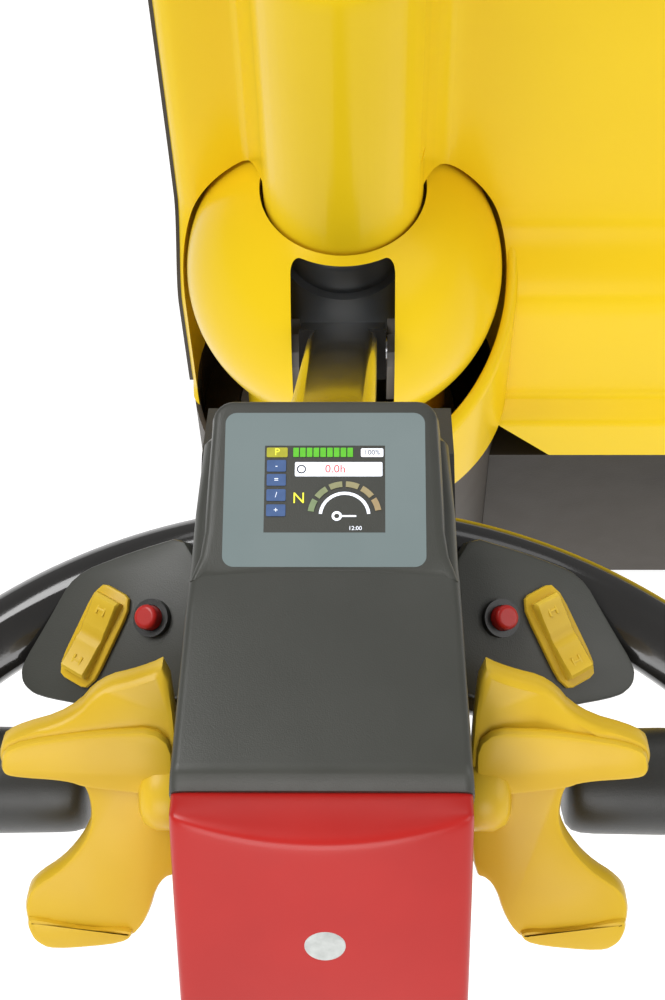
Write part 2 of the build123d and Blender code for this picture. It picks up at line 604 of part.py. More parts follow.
for side, hand in ((-1, "left"), (1, "right")):
    fork_x = MIDDLE + side * FORK_SPREAD
    low_x, high_x = fork_x - FORK_WIDTH / 2, fork_x + FORK_WIDTH / 2
    with BuildPart() as fork:
        with BuildSketch(Plane.XY.offset(WALL_LOW)):
            with BuildLine():
                Polyline((low_x, FORK_TIP - FORK_NOSE), (low_x, FORK_START), (high_x, FORK_START),
                         (high_x, FORK_TIP - FORK_NOSE))
                ThreePointArc((high_x, FORK_TIP - FORK_NOSE), (fork_x, FORK_TIP),
                              (low_x, FORK_TIP - FORK_NOSE))
            make_face()
        extrude(amount=FORK_TOP - WALL_LOW)
        fillet(fork.edges().group_by(Axis.Z)[-1], 3)
        with BuildSketch(Plane.XY.offset(WALL_LOW)):
            with Locations((fork_x, (FORK_START + FORK_TIP - FORK_NOSE) / 2)):
                Rectangle(FORK_WIDTH - 2 * FORK_PLATE, FORK_TIP - FORK_NOSE - 6 - FORK_START)
        extrude(amount=FORK_TOP - FORK_PLATE - WALL_LOW, mode=Mode.SUBTRACT)
        with BuildSketch(side_plane(low_x - 1)):
            with Locations((ARM_PIVOT_Y, ARM_PIVOT_Z)):
                Circle(LOAD_AXLE_R + RUN)
        extrude(amount=FORK_WIDTH + 2, mode=Mode.SUBTRACT)
        with BuildSketch(Plane.XY.offset(FORK_TOP)):
            with Locations((fork_x, FORK_START + (MAST_D + GAP) / 2)):
                Rectangle(FORK_WIDTH, MAST_D + GAP)
        extrude(amount=-SEAT, mode=Mode.SUBTRACT)
        # guides that carry the push rod
        for guide_y in (FORK_START + 120, ARM_PIVOT_Y - 120):
            with BuildSketch(front_plane(guide_y)):
                with Locations((fork_x, ROD_Z + 3)):
                    Rectangle(44, 2 * (FORK_TOP - FORK_PLATE + 1 - ROD_Z - 3))
                with Locations((fork_x, ROD_Z)):
                    Circle(PUSH_ROD_R + RUN, mode=Mode.SUBTRACT)
            extrude(amount=GUIDE_T)
    keep(f"fork_{hand}", fork)

    with BuildPart() as load_arm:
        for cheek_x in (fork_x - CHEEK_IN - CHEEK_T, fork_x + CHEEK_IN):
            with BuildSketch(side_plane(cheek_x)):
                with Locations((ARM_PIVOT_Y + ARM_R / 2, (ARM_PIVOT_Z + LOAD_WHEEL_R) / 2)):
                    Rectangle(ARM_R, 2 * BOSS_R)
                with Locations((ARM_PIVOT_Y, ARM_PIVOT_Z), (LOAD_Y, LOAD_WHEEL_R)):
                    Circle(BOSS_R)
            extrude(amount=CHEEK_T)
        with BuildSketch(side_plane(low_x)):
            with Locations((ARM_PIVOT_Y, ARM_PIVOT_Z)):
                Circle(LOAD_AXLE_R)
        extrude(amount=FORK_WIDTH)
        with BuildSketch(side_plane(fork_x - CHEEK_IN - CHEEK_T)):
            with Locations((LOAD_Y, LOAD_WHEEL_R)):
                Circle(LOAD_AXLE_R)
        extrude(amount=2 * (CHEEK_IN + CHEEK_T))
        with BuildSketch(side_plane(fork_x - CHEEK_IN)):
            with Locations((ARM_PIVOT_Y, ARM_PIVOT_Z)):
                Circle(BOSS_R)
            with Locations((ARM_PIVOT_Y, ARM_PIVOT_Z + LUG_R / 2)):
                Rectangle(BOSS_R, LUG_R)
            with Locations((ARM_PIVOT_Y, ARM_PIVOT_Z + LUG_R)):
                Circle(7)
        extrude(amount=2 * CHEEK_IN)
    keep(f"load_arm_{hand}", load_arm)

    with BuildPart() as load_wheel:
        with BuildSketch(side_plane(fork_x - CHEEK_IN + 2)):
            with Locations((LOAD_Y, LOAD_WHEEL_R)):
                Circle(LOAD_WHEEL_R)
                Circle(LOAD_AXLE_R + RUN, mode=Mode.SUBTRACT)
        extrude(amount=2 * (CHEEK_IN - 2))
        fillet(load_wheel.edges().filter_by(GeomType.CIRCLE).sort_by(SortBy.RADIUS)[-2:], 4)
    keep(f"load_wheel_{hand}", load_wheel)

    with BuildPart() as push_rod:
        with BuildSketch(front_plane(ARM_PIVOT_Y - 12)):
            with Locations((fork_x, ROD_Z)):
                Circle(PUSH_ROD_R)
        extrude(amount=-(FORK_START + 60 - ARM_PIVOT_Y + 12))
    keep(f"push_rod_{hand}", push_rod)

with BuildPart() as fork_carriage:
    for side in (-1, 1):
        with BuildSketch(Plane.XY.offset(FORK_TOP - SEAT)):
            with Locations((MIDDLE + side * (MAST_IN + MAST_W / 2), FORK_START + MAST_D / 2)):
                Rectangle(MAST_W, MAST_D)
        extrude(amount=CROSSBAR_Z - FORK_TOP + SEAT)
        with BuildSketch(Plane.XY.offset(FORK_TOP - SEAT)):
            with Locations((MIDDLE + side * FORK_SPREAD, FORK_START + SHANK_T / 2)):
                Rectangle(FORK_WIDTH, SHANK_T)
        extrude(amount=SHANK_H + SEAT)
    with BuildSketch(Plane.XY.offset(CROSSBAR_Z)):
        with Locations((MIDDLE, FORK_START + MAST_D / 2)):
            Rectangle(2 * (MAST_IN + MAST_W), MAST_D)
    extrude(amount=CROSSBAR_T)
    fillet(fork_carriage.edges().filter_by(Axis.X).group_by(Axis.Z)[-1], 6)
keep("fork_carriage", fork_carriage)

# ---- tiller arm --------------------------------------------------------------------------
KNUCKLE_END = 72.0
ARM_T = 36.0
ARM_LOW_W, ARM_HIGH_W = 50.0, 43.0


def on_arm(along, across):
    """Y and Z of a point on the tiller: along the arm from the pin, across towards its top."""
    return (PIN_Y - along * sin(LEAN) + across * cos(LEAN),
            PIN_Z + along * cos(LEAN) + across * sin(LEAN))


with BuildPart() as arm_knuckle:
    with BuildSketch(side_plane(-KNUCKLE_W / 2)):
        with Locations((PIN_Y, PIN_Z)):
            Circle(ARM_T / 2)
        Polygon(on_arm(0, ARM_T / 2), on_arm(KNUCKLE_END, ARM_T / 2), on_arm(KNUCKLE_END, -ARM_T / 2),
                on_arm(0, -ARM_T / 2), align=None)
        with Locations((PIN_Y, PIN_Z)):
            Circle(PIN_R + RUN, mode=Mode.SUBTRACT)
    extrude(amount=KNUCKLE_W)
keep("arm_knuckle", arm_knuckle)

with BuildPart() as tiller_arm:
    with BuildSketch(TILLER.offset(KNUCKLE_END)):
        RectangleRounded(ARM_LOW_W, ARM_T, 8)
    with BuildSketch(TILLER.offset(ARM_LENGTH - 10)):
        RectangleRounded(ARM_HIGH_W, ARM_T, 8)
    loft()
keep("tiller_arm", tiller_arm)

# ---- tiller head -------------------------------------------------------------------------
HALF = HEAD_WIDTH / 2
SPLIT_Z = 1035.0
DISPLAY_Y, DISPLAY_Z = -516.0, 1090.0
DISPLAY_TILT = radians(6)
HEAD_BACK_Y = -637.0       # face that the belly button presses towards
LIP_Y, LIP_Z = -651.0, 1087.5   # the housing's lip over the button's top
SHAFT_Y, SHAFT_Z = -627.0, 1024.0
SHAFT_R = 7.0
STEM_R, STEM_Z, STEM_X = 8.0, 1000.0, 34.0
DISPLAY = Plane(origin=(0, DISPLAY_Y, DISPLAY_Z), x_dir=(1, 0, 0),
                z_dir=(0, -sin(DISPLAY_TILT), cos(DISPLAY_TILT)))
GRIP_Y, GRIP_Z = -606.0, 979.0
LOOP_SLOPE = radians(28)
LOOP = Plane(origin=(0, GRIP_Y, GRIP_Z), x_dir=(1, 0, 0), z_dir=(0, -sin(LOOP_SLOPE), cos(LOOP_SLOPE)))
LOOP_REACH = 125.0
LOOP_BAND = 34.0
LOOP_FOOT = -28.0
LOOP_SHOULDER = 34.0
LOOP_INNER_SHOULDER = 20.0
LOOP_LOW, LOOP_DEPTH = -30.0, 24.0
GRIP_IN = 106.0
GRIP_R = 25.5

with BuildSketch(LOOP.offset(LOOP_LOW)) as loop_face:
    with BuildLine():
        ThreePointArc((-LOOP_HALF, LOOP_SHOULDER), (0, LOOP_REACH), (LOOP_HALF, LOOP_SHOULDER))
        Polyline((LOOP_HALF, LOOP_SHOULDER), (LOOP_HALF, LOOP_FOOT), (LOOP_HALF - LOOP_BAND, LOOP_FOOT),
                 (LOOP_HALF - LOOP_BAND, LOOP_INNER_SHOULDER))
        ThreePointArc((LOOP_HALF - LOOP_BAND, LOOP_INNER_SHOULDER), (0, LOOP_REACH - LOOP_BAND),
                      (LOOP_BAND - LOOP_HALF, LOOP_INNER_SHOULDER))
        Polyline((LOOP_BAND - LOOP_HALF, LOOP_INNER_SHOULDER), (LOOP_BAND - LOOP_HALF, LOOP_FOOT),
                 (-LOOP_HALF, LOOP_FOOT), (-LOOP_HALF, LOOP_SHOULDER))
    make_face()

with BuildPart() as handle_loop:
    extrude(to_extrude=loop_face.sketch, amount=LOOP_DEPTH)
keep("handle_loop", handle_loop)

HOUSING_SIDE = [(-474, 1094), (-556, 1086), (-644, 1094), (LIP_Y, LIP_Z + 3), (LIP_Y, LIP_Z),
                (HEAD_BACK_Y, LIP_Z), (HEAD_BACK_Y, SPLIT_Z), (-468, SPLIT_Z)]
BASE_SIDE = [on_arm(ARM_LENGTH - 10, 20), (-468, SPLIT_Z), (HEAD_BACK_Y, SPLIT_Z), (HEAD_BACK_Y, 985),
             (-600, 972), (-500, 972), on_arm(ARM_LENGTH - 10, -20)]
BEZEL_W, BEZEL_D = 86.4, 71.3
SCREEN_W, SCREEN_D = 51.5, 40.0

with BuildPart() as head_housing:
    with BuildSketch(side_plane(-HALF)):
        Polygon(*HOUSING_SIDE, align=None)
    extrude(amount=HEAD_WIDTH)
    fillet(head_housing.edges().filter_by(Axis.X).group_by(Axis.Z)[-1], 2)
    with BuildSketch(DISPLAY):
        RectangleRounded(BEZEL_W, BEZEL_D, 5)
    extrude(amount=-3, mode=Mode.SUBTRACT)
    with BuildSketch(DISPLAY):
        Rectangle(HEAD_WIDTH, 90)
    extrude(amount=20, mode=Mode.SUBTRACT)
    extrude(to_extrude=loop_face.sketch, amount=LOOP_DEPTH + GAP, mode=Mode.SUBTRACT)
keep("head_housing", head_housing)

with BuildPart() as head_base:
    with BuildSketch(side_plane(-HALF)):
        Polygon(*BASE_SIDE, align=None)
    extrude(amount=HEAD_WIDTH)
    with BuildSketch(side_plane(-HALF - 1)):
        with Locations((SHAFT_Y, SHAFT_Z)):
            Circle(SHAFT_R + RUN)
    extrude(amount=HEAD_WIDTH + 2, mode=Mode.SUBTRACT)
    with BuildSketch(front_plane(HEAD_BACK_Y + 20)):
        with Locations((-STEM_X, STEM_Z), (STEM_X, STEM_Z)):
            Circle(STEM_R + RUN)
    extrude(amount=30, mode=Mode.SUBTRACT)
    extrude(to_extrude=loop_face.sketch, amount=LOOP_DEPTH, mode=Mode.SUBTRACT)
keep("head_base", head_base)

with BuildPart() as display_bezel:
    with BuildSketch(DISPLAY.offset(-3)):
        RectangleRounded(BEZEL_W - 0.4, BEZEL_D - 0.4, 5)
    extrude(amount=3.4)
    with BuildSketch(DISPLAY.offset(0.4)):
        Rectangle(SCREEN_W, SCREEN_D)
    extrude(amount=-1.2, mode=Mode.SUBTRACT)
keep("display_bezel", display_bezel)

with BuildPart() as display_screen:
    with BuildSketch(DISPLAY.offset(-0.8)):
        Rectangle(SCREEN_W - 0.2, SCREEN_D - 0.2)
    extrude(amount=1)
keep("display_screen", display_screen)

BELLY_HALF = 60.0
BELLY_TRAVEL = 8.0
BELLY_FRONT = HEAD_BACK_Y - BELLY_TRAVEL - 1
BELLY_SIDE = [(BELLY_FRONT, LIP_Z - 1), (LIP_Y - BELLY_TRAVEL - 1, LIP_Z - 1), (-673, 1091), (-716, 1014),
              (-737, 974), (-728, 964), (BELLY_FRONT, 964)]
with BuildPart() as belly_button:
    with BuildSketch(side_plane(-BELLY_HALF)):
        Polygon(*BELLY_SIDE, align=None)
    extrude(amount=2 * BELLY_HALF)
    fillet(belly_button.edges().filter_by(Axis.X).group_by(Axis.Y)[0], 4)
    with BuildSketch(front_plane(HEAD_BACK_Y - BELLY_TRAVEL - 8)):
        with Locations((-STEM_X, STEM_Z), (STEM_X, STEM_Z)):
            Circle(STEM_R)
    extrude(amount=-BELLY_TRAVEL - 18)
keep("belly_button", belly_button)

with BuildPart() as throttle_shaft:
    with BuildSketch(side_plane(-HALF - 16)):
        with Locations((SHAFT_Y, SHAFT_Z)):
            Circle(SHAFT_R)
    extrude(amount=HEAD_WIDTH + 32)
keep("throttle_shaft", throttle_shaft)

# ---- throttle levers, grips, switch panels and their switches ------------------------------
LEVER_T = 13.0
LEVER = Plane(origin=(0, SHAFT_Y, SHAFT_Z), x_dir=(1, 0, 0), z_dir=(0, -0.83, 0.56))
LEVER_OUTLINE = [(HALF + 4, 44), (76, 43), (100, 41), (109, 29), (138, 23), (139, 11), (109, 4), (102, -6),
                 (102, -20), (117, -38), (130, -44), (131, -56), (126, -67), (118, -71), (88, -68),
                 (78, -58), (73, -40), (HALF + 4, -40)]
WING_TILT = radians(22)
WING_IN = HALF
WING_T = 8.0
WING_Y, WING_Z = -548.0, 1040.0
WING_RISE = (0, 0.94, 0.34)    # direction of the panel's edge along the head
WING_OUTLINE = [(0, 33), (57, 24), (82, -14), (75, -27), (46, -39), (0, -39)]
HORN_U, HORN_V = 20.0, -2.0
HORN_R = 5.5
COLLAR_R, COLLAR_H = 8.5, 4.0
ROCKER_U, ROCKER_V = 49.0, -7.0
ROCKER_TURN = 24.0
ROCKER_L, ROCKER_W = 37.0, 12.0
ROCKER_AXLE_R = 1.6
ROCKER_AXLE_UP = 2.0

for side, hand in ((-1, "left"), (1, "right")):
    wing_plane = Plane(origin=(side * WING_IN, WING_Y, WING_Z),
                       x_dir=(cos(WING_TILT), 0, -side * sin(WING_TILT)),
                       z_dir=Vector(cos(WING_TILT), 0, -side * sin(WING_TILT)).cross(Vector(*WING_RISE)))
    rocker_centre = wing_plane.from_local_coords((side * ROCKER_U, ROCKER_V, 0))
    rocker_x = (wing_plane.from_local_coords((side * ROCKER_U + cos(radians(90 + side * ROCKER_TURN)),
                                              ROCKER_V + sin(radians(90 + side * ROCKER_TURN)), 0))
                - rocker_centre)
    rocker_plane = Plane(origin=rocker_centre, x_dir=rocker_x, z_dir=wing_plane.z_dir)

    with BuildPart() as throttle:
        with BuildSketch(LEVER.offset(-LEVER_T / 2)):
            Polygon(*[(side * x, y) for x, y in LEVER_OUTLINE], align=None)
        extrude(amount=LEVER_T)
        fillet(throttle.edges().filter_by(Axis((0, 0, 0), LEVER.z_dir)), 2.5)
        with BuildSketch(side_plane(side * (HALF + 4))):
            with Locations((SHAFT_Y, SHAFT_Z)):
                Circle(15)
        extrude(amount=side * 14)
        with BuildSketch(side_plane(side * (HALF - 4))):
            with Locations((SHAFT_Y, SHAFT_Z)):
                Circle(SHAFT_R)
        extrude(amount=side * 20, mode=Mode.SUBTRACT)
    keep(f"throttle_{hand}", throttle)

    with BuildPart() as grip:
        with BuildSketch(side_plane(side * GRIP_IN)):
            with Locations((GRIP_Y, GRIP_Z)):
                Ellipse(GRIP_R - 2, GRIP_R)
        extrude(amount=side * (LOOP_HALF - LOOP_BAND - GRIP_IN))
        extrude(to_extrude=loop_face.sketch, amount=LOOP_DEPTH, mode=Mode.SUBTRACT)
        fillet(grip.edges().group_by(Axis.X)[-1 if side < 0 else 0], 5)
    keep(f"grip_{hand}", grip)

    with BuildPart() as switch_panel:
        with BuildSketch(wing_plane):
            Polygon(*[(side * u, v) for u, v in WING_OUTLINE], align=None)
        extrude(amount=-WING_T)
        with BuildSketch(side_plane(0)):
            with Locations((WING_Y, WING_Z)):
                Rectangle(200, 200)
        extrude(amount=side * HALF, mode=Mode.SUBTRACT)
        fillet(switch_panel.edges().filter_by(Axis((0, 0, 0), wing_plane.z_dir)), 1.5)
        with BuildSketch(wing_plane):
            with Locations((side * HORN_U, HORN_V)):
                Circle(HORN_R + GAP)
        extrude(amount=-WING_T, mode=Mode.SUBTRACT)
        with BuildSketch(rocker_plane):
            Rectangle(ROCKER_L + 5, ROCKER_W + 1.4)
        extrude(amount=-WING_T, mode=Mode.SUBTRACT)
    keep(f"switch_panel_{hand}", switch_panel)

    with BuildPart() as rocker_frame:
        with BuildSketch(rocker_plane):
            RectangleRounded(ROCKER_L + 11, ROCKER_W + 9, 3)
            Rectangle(ROCKER_L + 3, ROCKER_W + 1.4, mode=Mode.SUBTRACT)
        extrude(amount=4)
        with BuildSketch(Plane(origin=rocker_plane.origin + rocker_plane.z_dir * ROCKER_AXLE_UP,
                               x_dir=rocker_plane.x_dir, z_dir=rocker_plane.y_dir)):
            Circle(ROCKER_AXLE_R + RUN)
        extrude(amount=ROCKER_W, both=True, mode=Mode.SUBTRACT)
    keep(f"rocker_frame_{hand}", rocker_frame)

    with BuildPart() as rocker:
        with BuildSketch(rocker_plane.offset(-3)):
            Rectangle(ROCKER_L, ROCKER_W)
        extrude(amount=11)
        with BuildSketch(Plane(origin=rocker_plane.origin + rocker_plane.z_dir * 24,
                               x_dir=rocker_plane.x_dir, z_dir=rocker_plane.y_dir)):
            Circle(17.5)
        extrude(amount=ROCKER_W, both=True, mode=Mode.SUBTRACT)
        with BuildSketch(Plane(origin=rocker_plane.origin + rocker_plane.z_dir * ROCKER_AXLE_UP,
                               x_dir=rocker_plane.x_dir, z_dir=rocker_plane.y_dir)):
            Circle(ROCKER_AXLE_R)
        extrude(amount=ROCKER_W / 2 + 3.5, both=True)
    keep(f"rocker_{hand}", rocker)

    with BuildPart() as horn_collar:
        with BuildSketch(wing_plane):
            with Locations((side * HORN_U, HORN_V)):
                Circle(COLLAR_R)
                Circle(HORN_R + GAP, mode=Mode.SUBTRACT)
        extrude(amount=COLLAR_H)
    keep(f"horn_collar_{hand}", horn_collar)

    with BuildPart() as horn_button:
        with BuildSketch(wing_plane.offset(-4)):
            with Locations((side * HORN_U, HORN_V)):
                Circle(HORN_R)
        extrude(amount=14)
        fillet(horn_button.edges().filter_by(GeomType.CIRCLE)
               .sort_by(lambda edge: edge.center().dot(wing_plane.z_dir))[-1], 2)
    keep(f"horn_button_{hand}", horn_button)

# ---- shared origin, then one file for each piece -------------------------------------------
boxes = [piece.bounding_box() for piece in pieces.values()]
LOW = Vector(*[min(getattr(box.min, axis) for box in boxes) for axis in "XYZ"])
HIGH = Vector(*[max(getattr(box.max, axis) for box in boxes) for axis in "XYZ"])
SHIFT = (-(LOW.X + HIGH.X) / 2, -(LOW.Y + HIGH.Y) / 2, -LOW.Z)
for name, piece in pieces.items():
    moved = Pos(*SHIFT) * piece
    moved.label = name
    export_step(moved, f"parts/{name}.step")
print("truck", [round(v, 1) for v in (HIGH - LOW)], "shift", [round(v, 2) for v in SHIFT])
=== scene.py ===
import json
import math

import bmesh
import bpy
from mathutils import Matrix, Vector


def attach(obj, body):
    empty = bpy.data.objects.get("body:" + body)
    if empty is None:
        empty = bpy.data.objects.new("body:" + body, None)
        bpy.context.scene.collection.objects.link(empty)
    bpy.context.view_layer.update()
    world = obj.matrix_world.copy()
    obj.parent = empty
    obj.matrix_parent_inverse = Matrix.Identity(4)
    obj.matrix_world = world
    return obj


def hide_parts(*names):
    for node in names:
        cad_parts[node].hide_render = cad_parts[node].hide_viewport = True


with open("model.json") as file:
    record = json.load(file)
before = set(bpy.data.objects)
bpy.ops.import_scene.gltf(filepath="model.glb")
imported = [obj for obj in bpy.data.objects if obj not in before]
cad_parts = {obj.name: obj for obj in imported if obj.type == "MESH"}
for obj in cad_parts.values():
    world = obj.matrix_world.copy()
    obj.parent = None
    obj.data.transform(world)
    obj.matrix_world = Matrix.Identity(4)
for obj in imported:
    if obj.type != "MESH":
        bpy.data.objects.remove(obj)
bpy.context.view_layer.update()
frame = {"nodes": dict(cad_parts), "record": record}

# ---------------------------------------------------------------------------------------
# Electric pallet truck. Units are metres. The truck stands on the floor at Z = 0 with its
# forks along +Y; the driver walks on the -Y side, where the tiller is.
# ---------------------------------------------------------------------------------------

# ---- places taken from the frame ----------------------------------------------------------
JOINTS = {joint["name"]: joint for joint in frame["record"]["behaviour"]["joints"]}
STEER = Vector(JOINTS["steer"]["pos_m"])                 # steering axis
MIRRORED = ((-1, "left"), (1, "right"))


def at(x, y, z):
    """Point measured in millimetres from the steering axis at floor level."""
    return Vector((STEER.x + x / 1000, STEER.y + y / 1000, z / 1000))


# ---- shader groups --------------------------------------------------------------------------
def add_node(tree, kind, **settings):
    made = tree.nodes.new(kind)
    for key, value in settings.items():
        if key in made.inputs:
            made.inputs[key].default_value = value
        else:
            setattr(made, key, value)
    return made


def new_group(name, inputs, outputs):
    """Empty shader group with named sockets; returns it with its input and output nodes."""
    group = bpy.data.node_groups.new(name, "ShaderNodeTree")
    for label, kind in inputs:
        group.interface.new_socket(label, in_out="INPUT", socket_type=kind)
    for label, kind in outputs:
        group.interface.new_socket(label, in_out="OUTPUT", socket_type=kind)
    return group, group.nodes.new("NodeGroupInput"), group.nodes.new("NodeGroupOutput")


def noise_in(group, scale, detail):
    """Noise over the piece's own coordinates; its scale comes from a socket."""
    made = add_node(group, "ShaderNodeTexNoise", Detail=detail, Roughness=0.5)
    place = group.nodes.new("ShaderNodeTexCoord")
    group.links.new(place.outputs["Object"], made.inputs["Vector"])
    group.links.new(scale, made.inputs["Scale"])
    return made.outputs["Fac"]


def mixed(group, mask, low, high):
    """Colour between two colour sockets, by a mask."""
    made = add_node(group, "ShaderNodeMix", data_type="RGBA")
    for socket, number in ((mask, 0), (low, 6), (high, 7)):
        group.links.new(socket, made.inputs[number])
    return made.outputs[2]


def spread(group, value, low, high):
    """Stretch of a value between two numbers to the whole of 0 to 1."""
    made = add_node(group, "ShaderNodeMapRange")
    made.inputs["From Min"].default_value = low
    made.inputs["From Max"].default_value = high
    group.links.new(value, made.inputs["Value"])
    return made.outputs["Result"]


COLOUR, NUMBER = "NodeSocketColor", "NodeSocketFloat"


def build_patches():
    """Soft patches that wander between two close colours."""
    group, given, result = new_group("soft_patches", (("Low", COLOUR), ("High", COLOUR), ("Scale", NUMBER)),
                                     (("Colour", COLOUR),))
    mask = spread(group, noise_in(group, given.outputs["Scale"], 4), 0.3, 0.7)
    group.links.new(mixed(group, mask, given.outputs["Low"], given.outputs["High"]), result.inputs["Colour"])
    return group


def build_wear():
    """Lighter paint or bare material along worn outer edges."""
    group, given, result = new_group("edge_wear", (("Colour", COLOUR), ("Worn", COLOUR)),
                                     (("Colour", COLOUR),))
    geometry = group.nodes.new("ShaderNodeNewGeometry")
    mask = spread(group, geometry.outputs["Pointiness"], 0.52, 0.60)
    worn = mixed(group, mask, given.outputs["Colour"], given.outputs["Worn"])
    group.links.new(worn, result.inputs["Colour"])
    return group


def build_grain():
    """Uneven gloss and the fine grain of a mould, a casting or a coat of paint."""
    inputs = [(label, NUMBER) for label in ("Gloss Scale", "Rough Low", "Rough High", "Grain Scale", "Grain")]
    group, given, result = new_group("surface_grain", inputs,
                                     (("Roughness", NUMBER), ("Normal", "NodeSocketVector")))
    gloss = add_node(group, "ShaderNodeMapRange")
    group.links.new(noise_in(group, given.outputs["Gloss Scale"], 5), gloss.inputs["Value"])
    group.links.new(given.outputs["Rough Low"], gloss.inputs["To Min"])
    group.links.new(given.outputs["Rough High"], gloss.inputs["To Max"])
    group.links.new(gloss.outputs["Result"], result.inputs["Roughness"])
    grain = add_node(group, "ShaderNodeBump", Distance=0.0004)
    group.links.new(noise_in(group, given.outputs["Grain Scale"], 2), grain.inputs["Height"])
    group.links.new(given.outputs["Grain"], grain.inputs["Strength"])
    group.links.new(grain.outputs["Normal"], result.inputs["Normal"])
    return group


PATCHES, WEAR, GRAIN = build_patches(), build_wear(), build_grain()


# ---- materials --------------------------------------------------------------------------------
def new_material(name):
    """Material with a Principled shader; returns it, its tree and the shader."""
    material = bpy.data.materials.new(name)
    material.use_nodes = True
    tree = material.node_tree
    return material, tree, tree.nodes["Principled BSDF"]


def use_group(tree, group, **values):
    """Place a shader group in a material; an underscore in a name stands for a space."""
    made = tree.nodes.new("ShaderNodeGroup")
    made.node_tree = group
    for label, value in values.items():
        made.inputs[label.replace("_", " ")].default_value = value
    return made


def finish(name, low, high, rough, grain_scale=900, grain=0.1, patch_scale=9, metallic=0.0,
           coat=0.0, edge=None, shine=0.5):
    """Painted, moulded or cast surface: soft patches of colour, fine grain and worn edges."""
    material, tree, shader = new_material(name)
    colour = use_group(tree, PATCHES, Low=(*low, 1), High=(*high, 1), Scale=patch_scale).outputs["Colour"]
    if edge:
        worn = use_group(tree, WEAR, Worn=(*edge, 1))
        tree.links.new(colour, worn.inputs["Colour"])
        colour = worn.outputs["Colour"]
    tree.links.new(colour, shader.inputs["Base Color"])
    surface = use_group(tree, GRAIN, Gloss_Scale=patch_scale * 6, Rough_Low=rough[0], Rough_High=rough[1],
                        Grain_Scale=grain_scale, Grain=grain)
    tree.links.new(surface.outputs["Roughness"], shader.inputs["Roughness"])
    tree.links.new(surface.outputs["Normal"], shader.inputs["Normal"])
    shader.inputs["Metallic"].default_value = metallic
    shader.inputs["Specular IOR Level"].default_value = shine
    shader.inputs["Coat Weight"].default_value = coat
    shader.inputs["Coat Roughness"].default_value = 0.06
    return material


MATERIALS = {
    "hood_yellow": finish("hood_yellow", (0.85, 0.575, 0.010), (0.89, 0.615, 0.014), (0.20, 0.28),
                          grain_scale=260, grain=0.02, patch_scale=3, shine=0.12),
    "lever_yellow": finish("lever_yellow", (0.60, 0.37, 0.010), (0.66, 0.42, 0.016), (0.30, 0.42),
                           grain_scale=1500, grain=0.05, patch_scale=20, shine=0.3, edge=(0.74, 0.50, 0.04)),
    "head_grey": finish("head_grey", (0.042, 0.043, 0.036), (0.054, 0.055, 0.047), (0.36, 0.46),
                        grain_scale=1600, grain=0.22, patch_scale=14, shine=0.4),
    "black_plastic": finish("black_plastic", (0.010, 0.010, 0.009), (0.018, 0.018, 0.016), (0.26, 0.38),
                            grain_scale=1400, grain=0.12, patch_scale=12),
    "grip_rubber": finish("grip_rubber", (0.016, 0.016, 0.014), (0.026, 0.026, 0.023), (0.34, 0.46),
                          grain_scale=1700, grain=0.35, patch_scale=18),
    "arm_black": finish("arm_black", (0.010, 0.009, 0.008), (0.016, 0.014, 0.012), (0.12, 0.20),
                        grain_scale=500, grain=0.05, patch_scale=8, coat=0.5),
    "chassis_dark": finish("chassis_dark", (0.014, 0.010, 0.005), (0.021, 0.015, 0.008), (0.45, 0.58),
                           grain_scale=700, grain=0.3, patch_scale=6, edge=(0.06, 0.05, 0.04), shine=0.3),
    "fork_paint": finish("fork_paint", (0.026, 0.023, 0.018), (0.038, 0.034, 0.028), (0.40, 0.55),
                         grain_scale=700, grain=0.25, patch_scale=5, edge=(0.14, 0.13, 0.12), shine=0.35),
    "battery_shell": finish("battery_shell", (0.04, 0.045, 0.05), (0.06, 0.065, 0.07), (0.4, 0.5)),
    "loop_black": finish("loop_black", (0.012, 0.011, 0.010), (0.018, 0.017, 0.016), (0.14, 0.22),
                         grain_scale=900, grain=0.06, patch_scale=10, coat=0.5),
    "signal_red": finish("signal_red", (0.42, 0.012, 0.009), (0.48, 0.016, 0.012), (0.28, 0.36),
                         grain_scale=1200, grain=0.04, patch_scale=16, shine=0.4),
    "bezel_grey": finish("bezel_grey", (0.18, 0.225, 0.225), (0.20, 0.245, 0.245), (0.10, 0.16),
                         grain_scale=900, grain=0.01, patch_scale=20, shine=0.4),
    "bright_steel": finish("bright_steel", (0.50, 0.50, 0.51), (0.60, 0.60, 0.61), (0.22, 0.36),
                           grain_scale=400, grain=0.1, metallic=1.0),
    "machine_grey": finish("machine_grey", (0.10, 0.11, 0.12), (0.13, 0.14, 0.15), (0.4, 0.5)),
    "cast_grey": finish("cast_grey", (0.13, 0.13, 0.13), (0.18, 0.18, 0.18), (0.5, 0.65),
                        grain_scale=300, grain=0.5, metallic=0.6),
    "controller_alu": finish("controller_alu", (0.45, 0.46, 0.47), (0.52, 0.53, 0.54), (0.35, 0.45),
                             metallic=1.0),
    "tread": finish("tread", (0.30, 0.045, 0.018), (0.36, 0.060, 0.022), (0.45, 0.60),
                    grain_scale=600, grain=0.3),
    "screen": finish("screen", (0.006, 0.008, 0.012), (0.010, 0.012, 0.018), (0.05, 0.08), coat=0.5),
}


def dress_frame():
    """Every carried-over node gets the material of its slot."""
    slots = {part["node"]: part["material_slot"] for part in frame["record"]["subparts"]}
    for name, node in frame["nodes"].items():
        node.data.materials.clear()
        node.data.materials.append(MATERIALS[slots[name]])


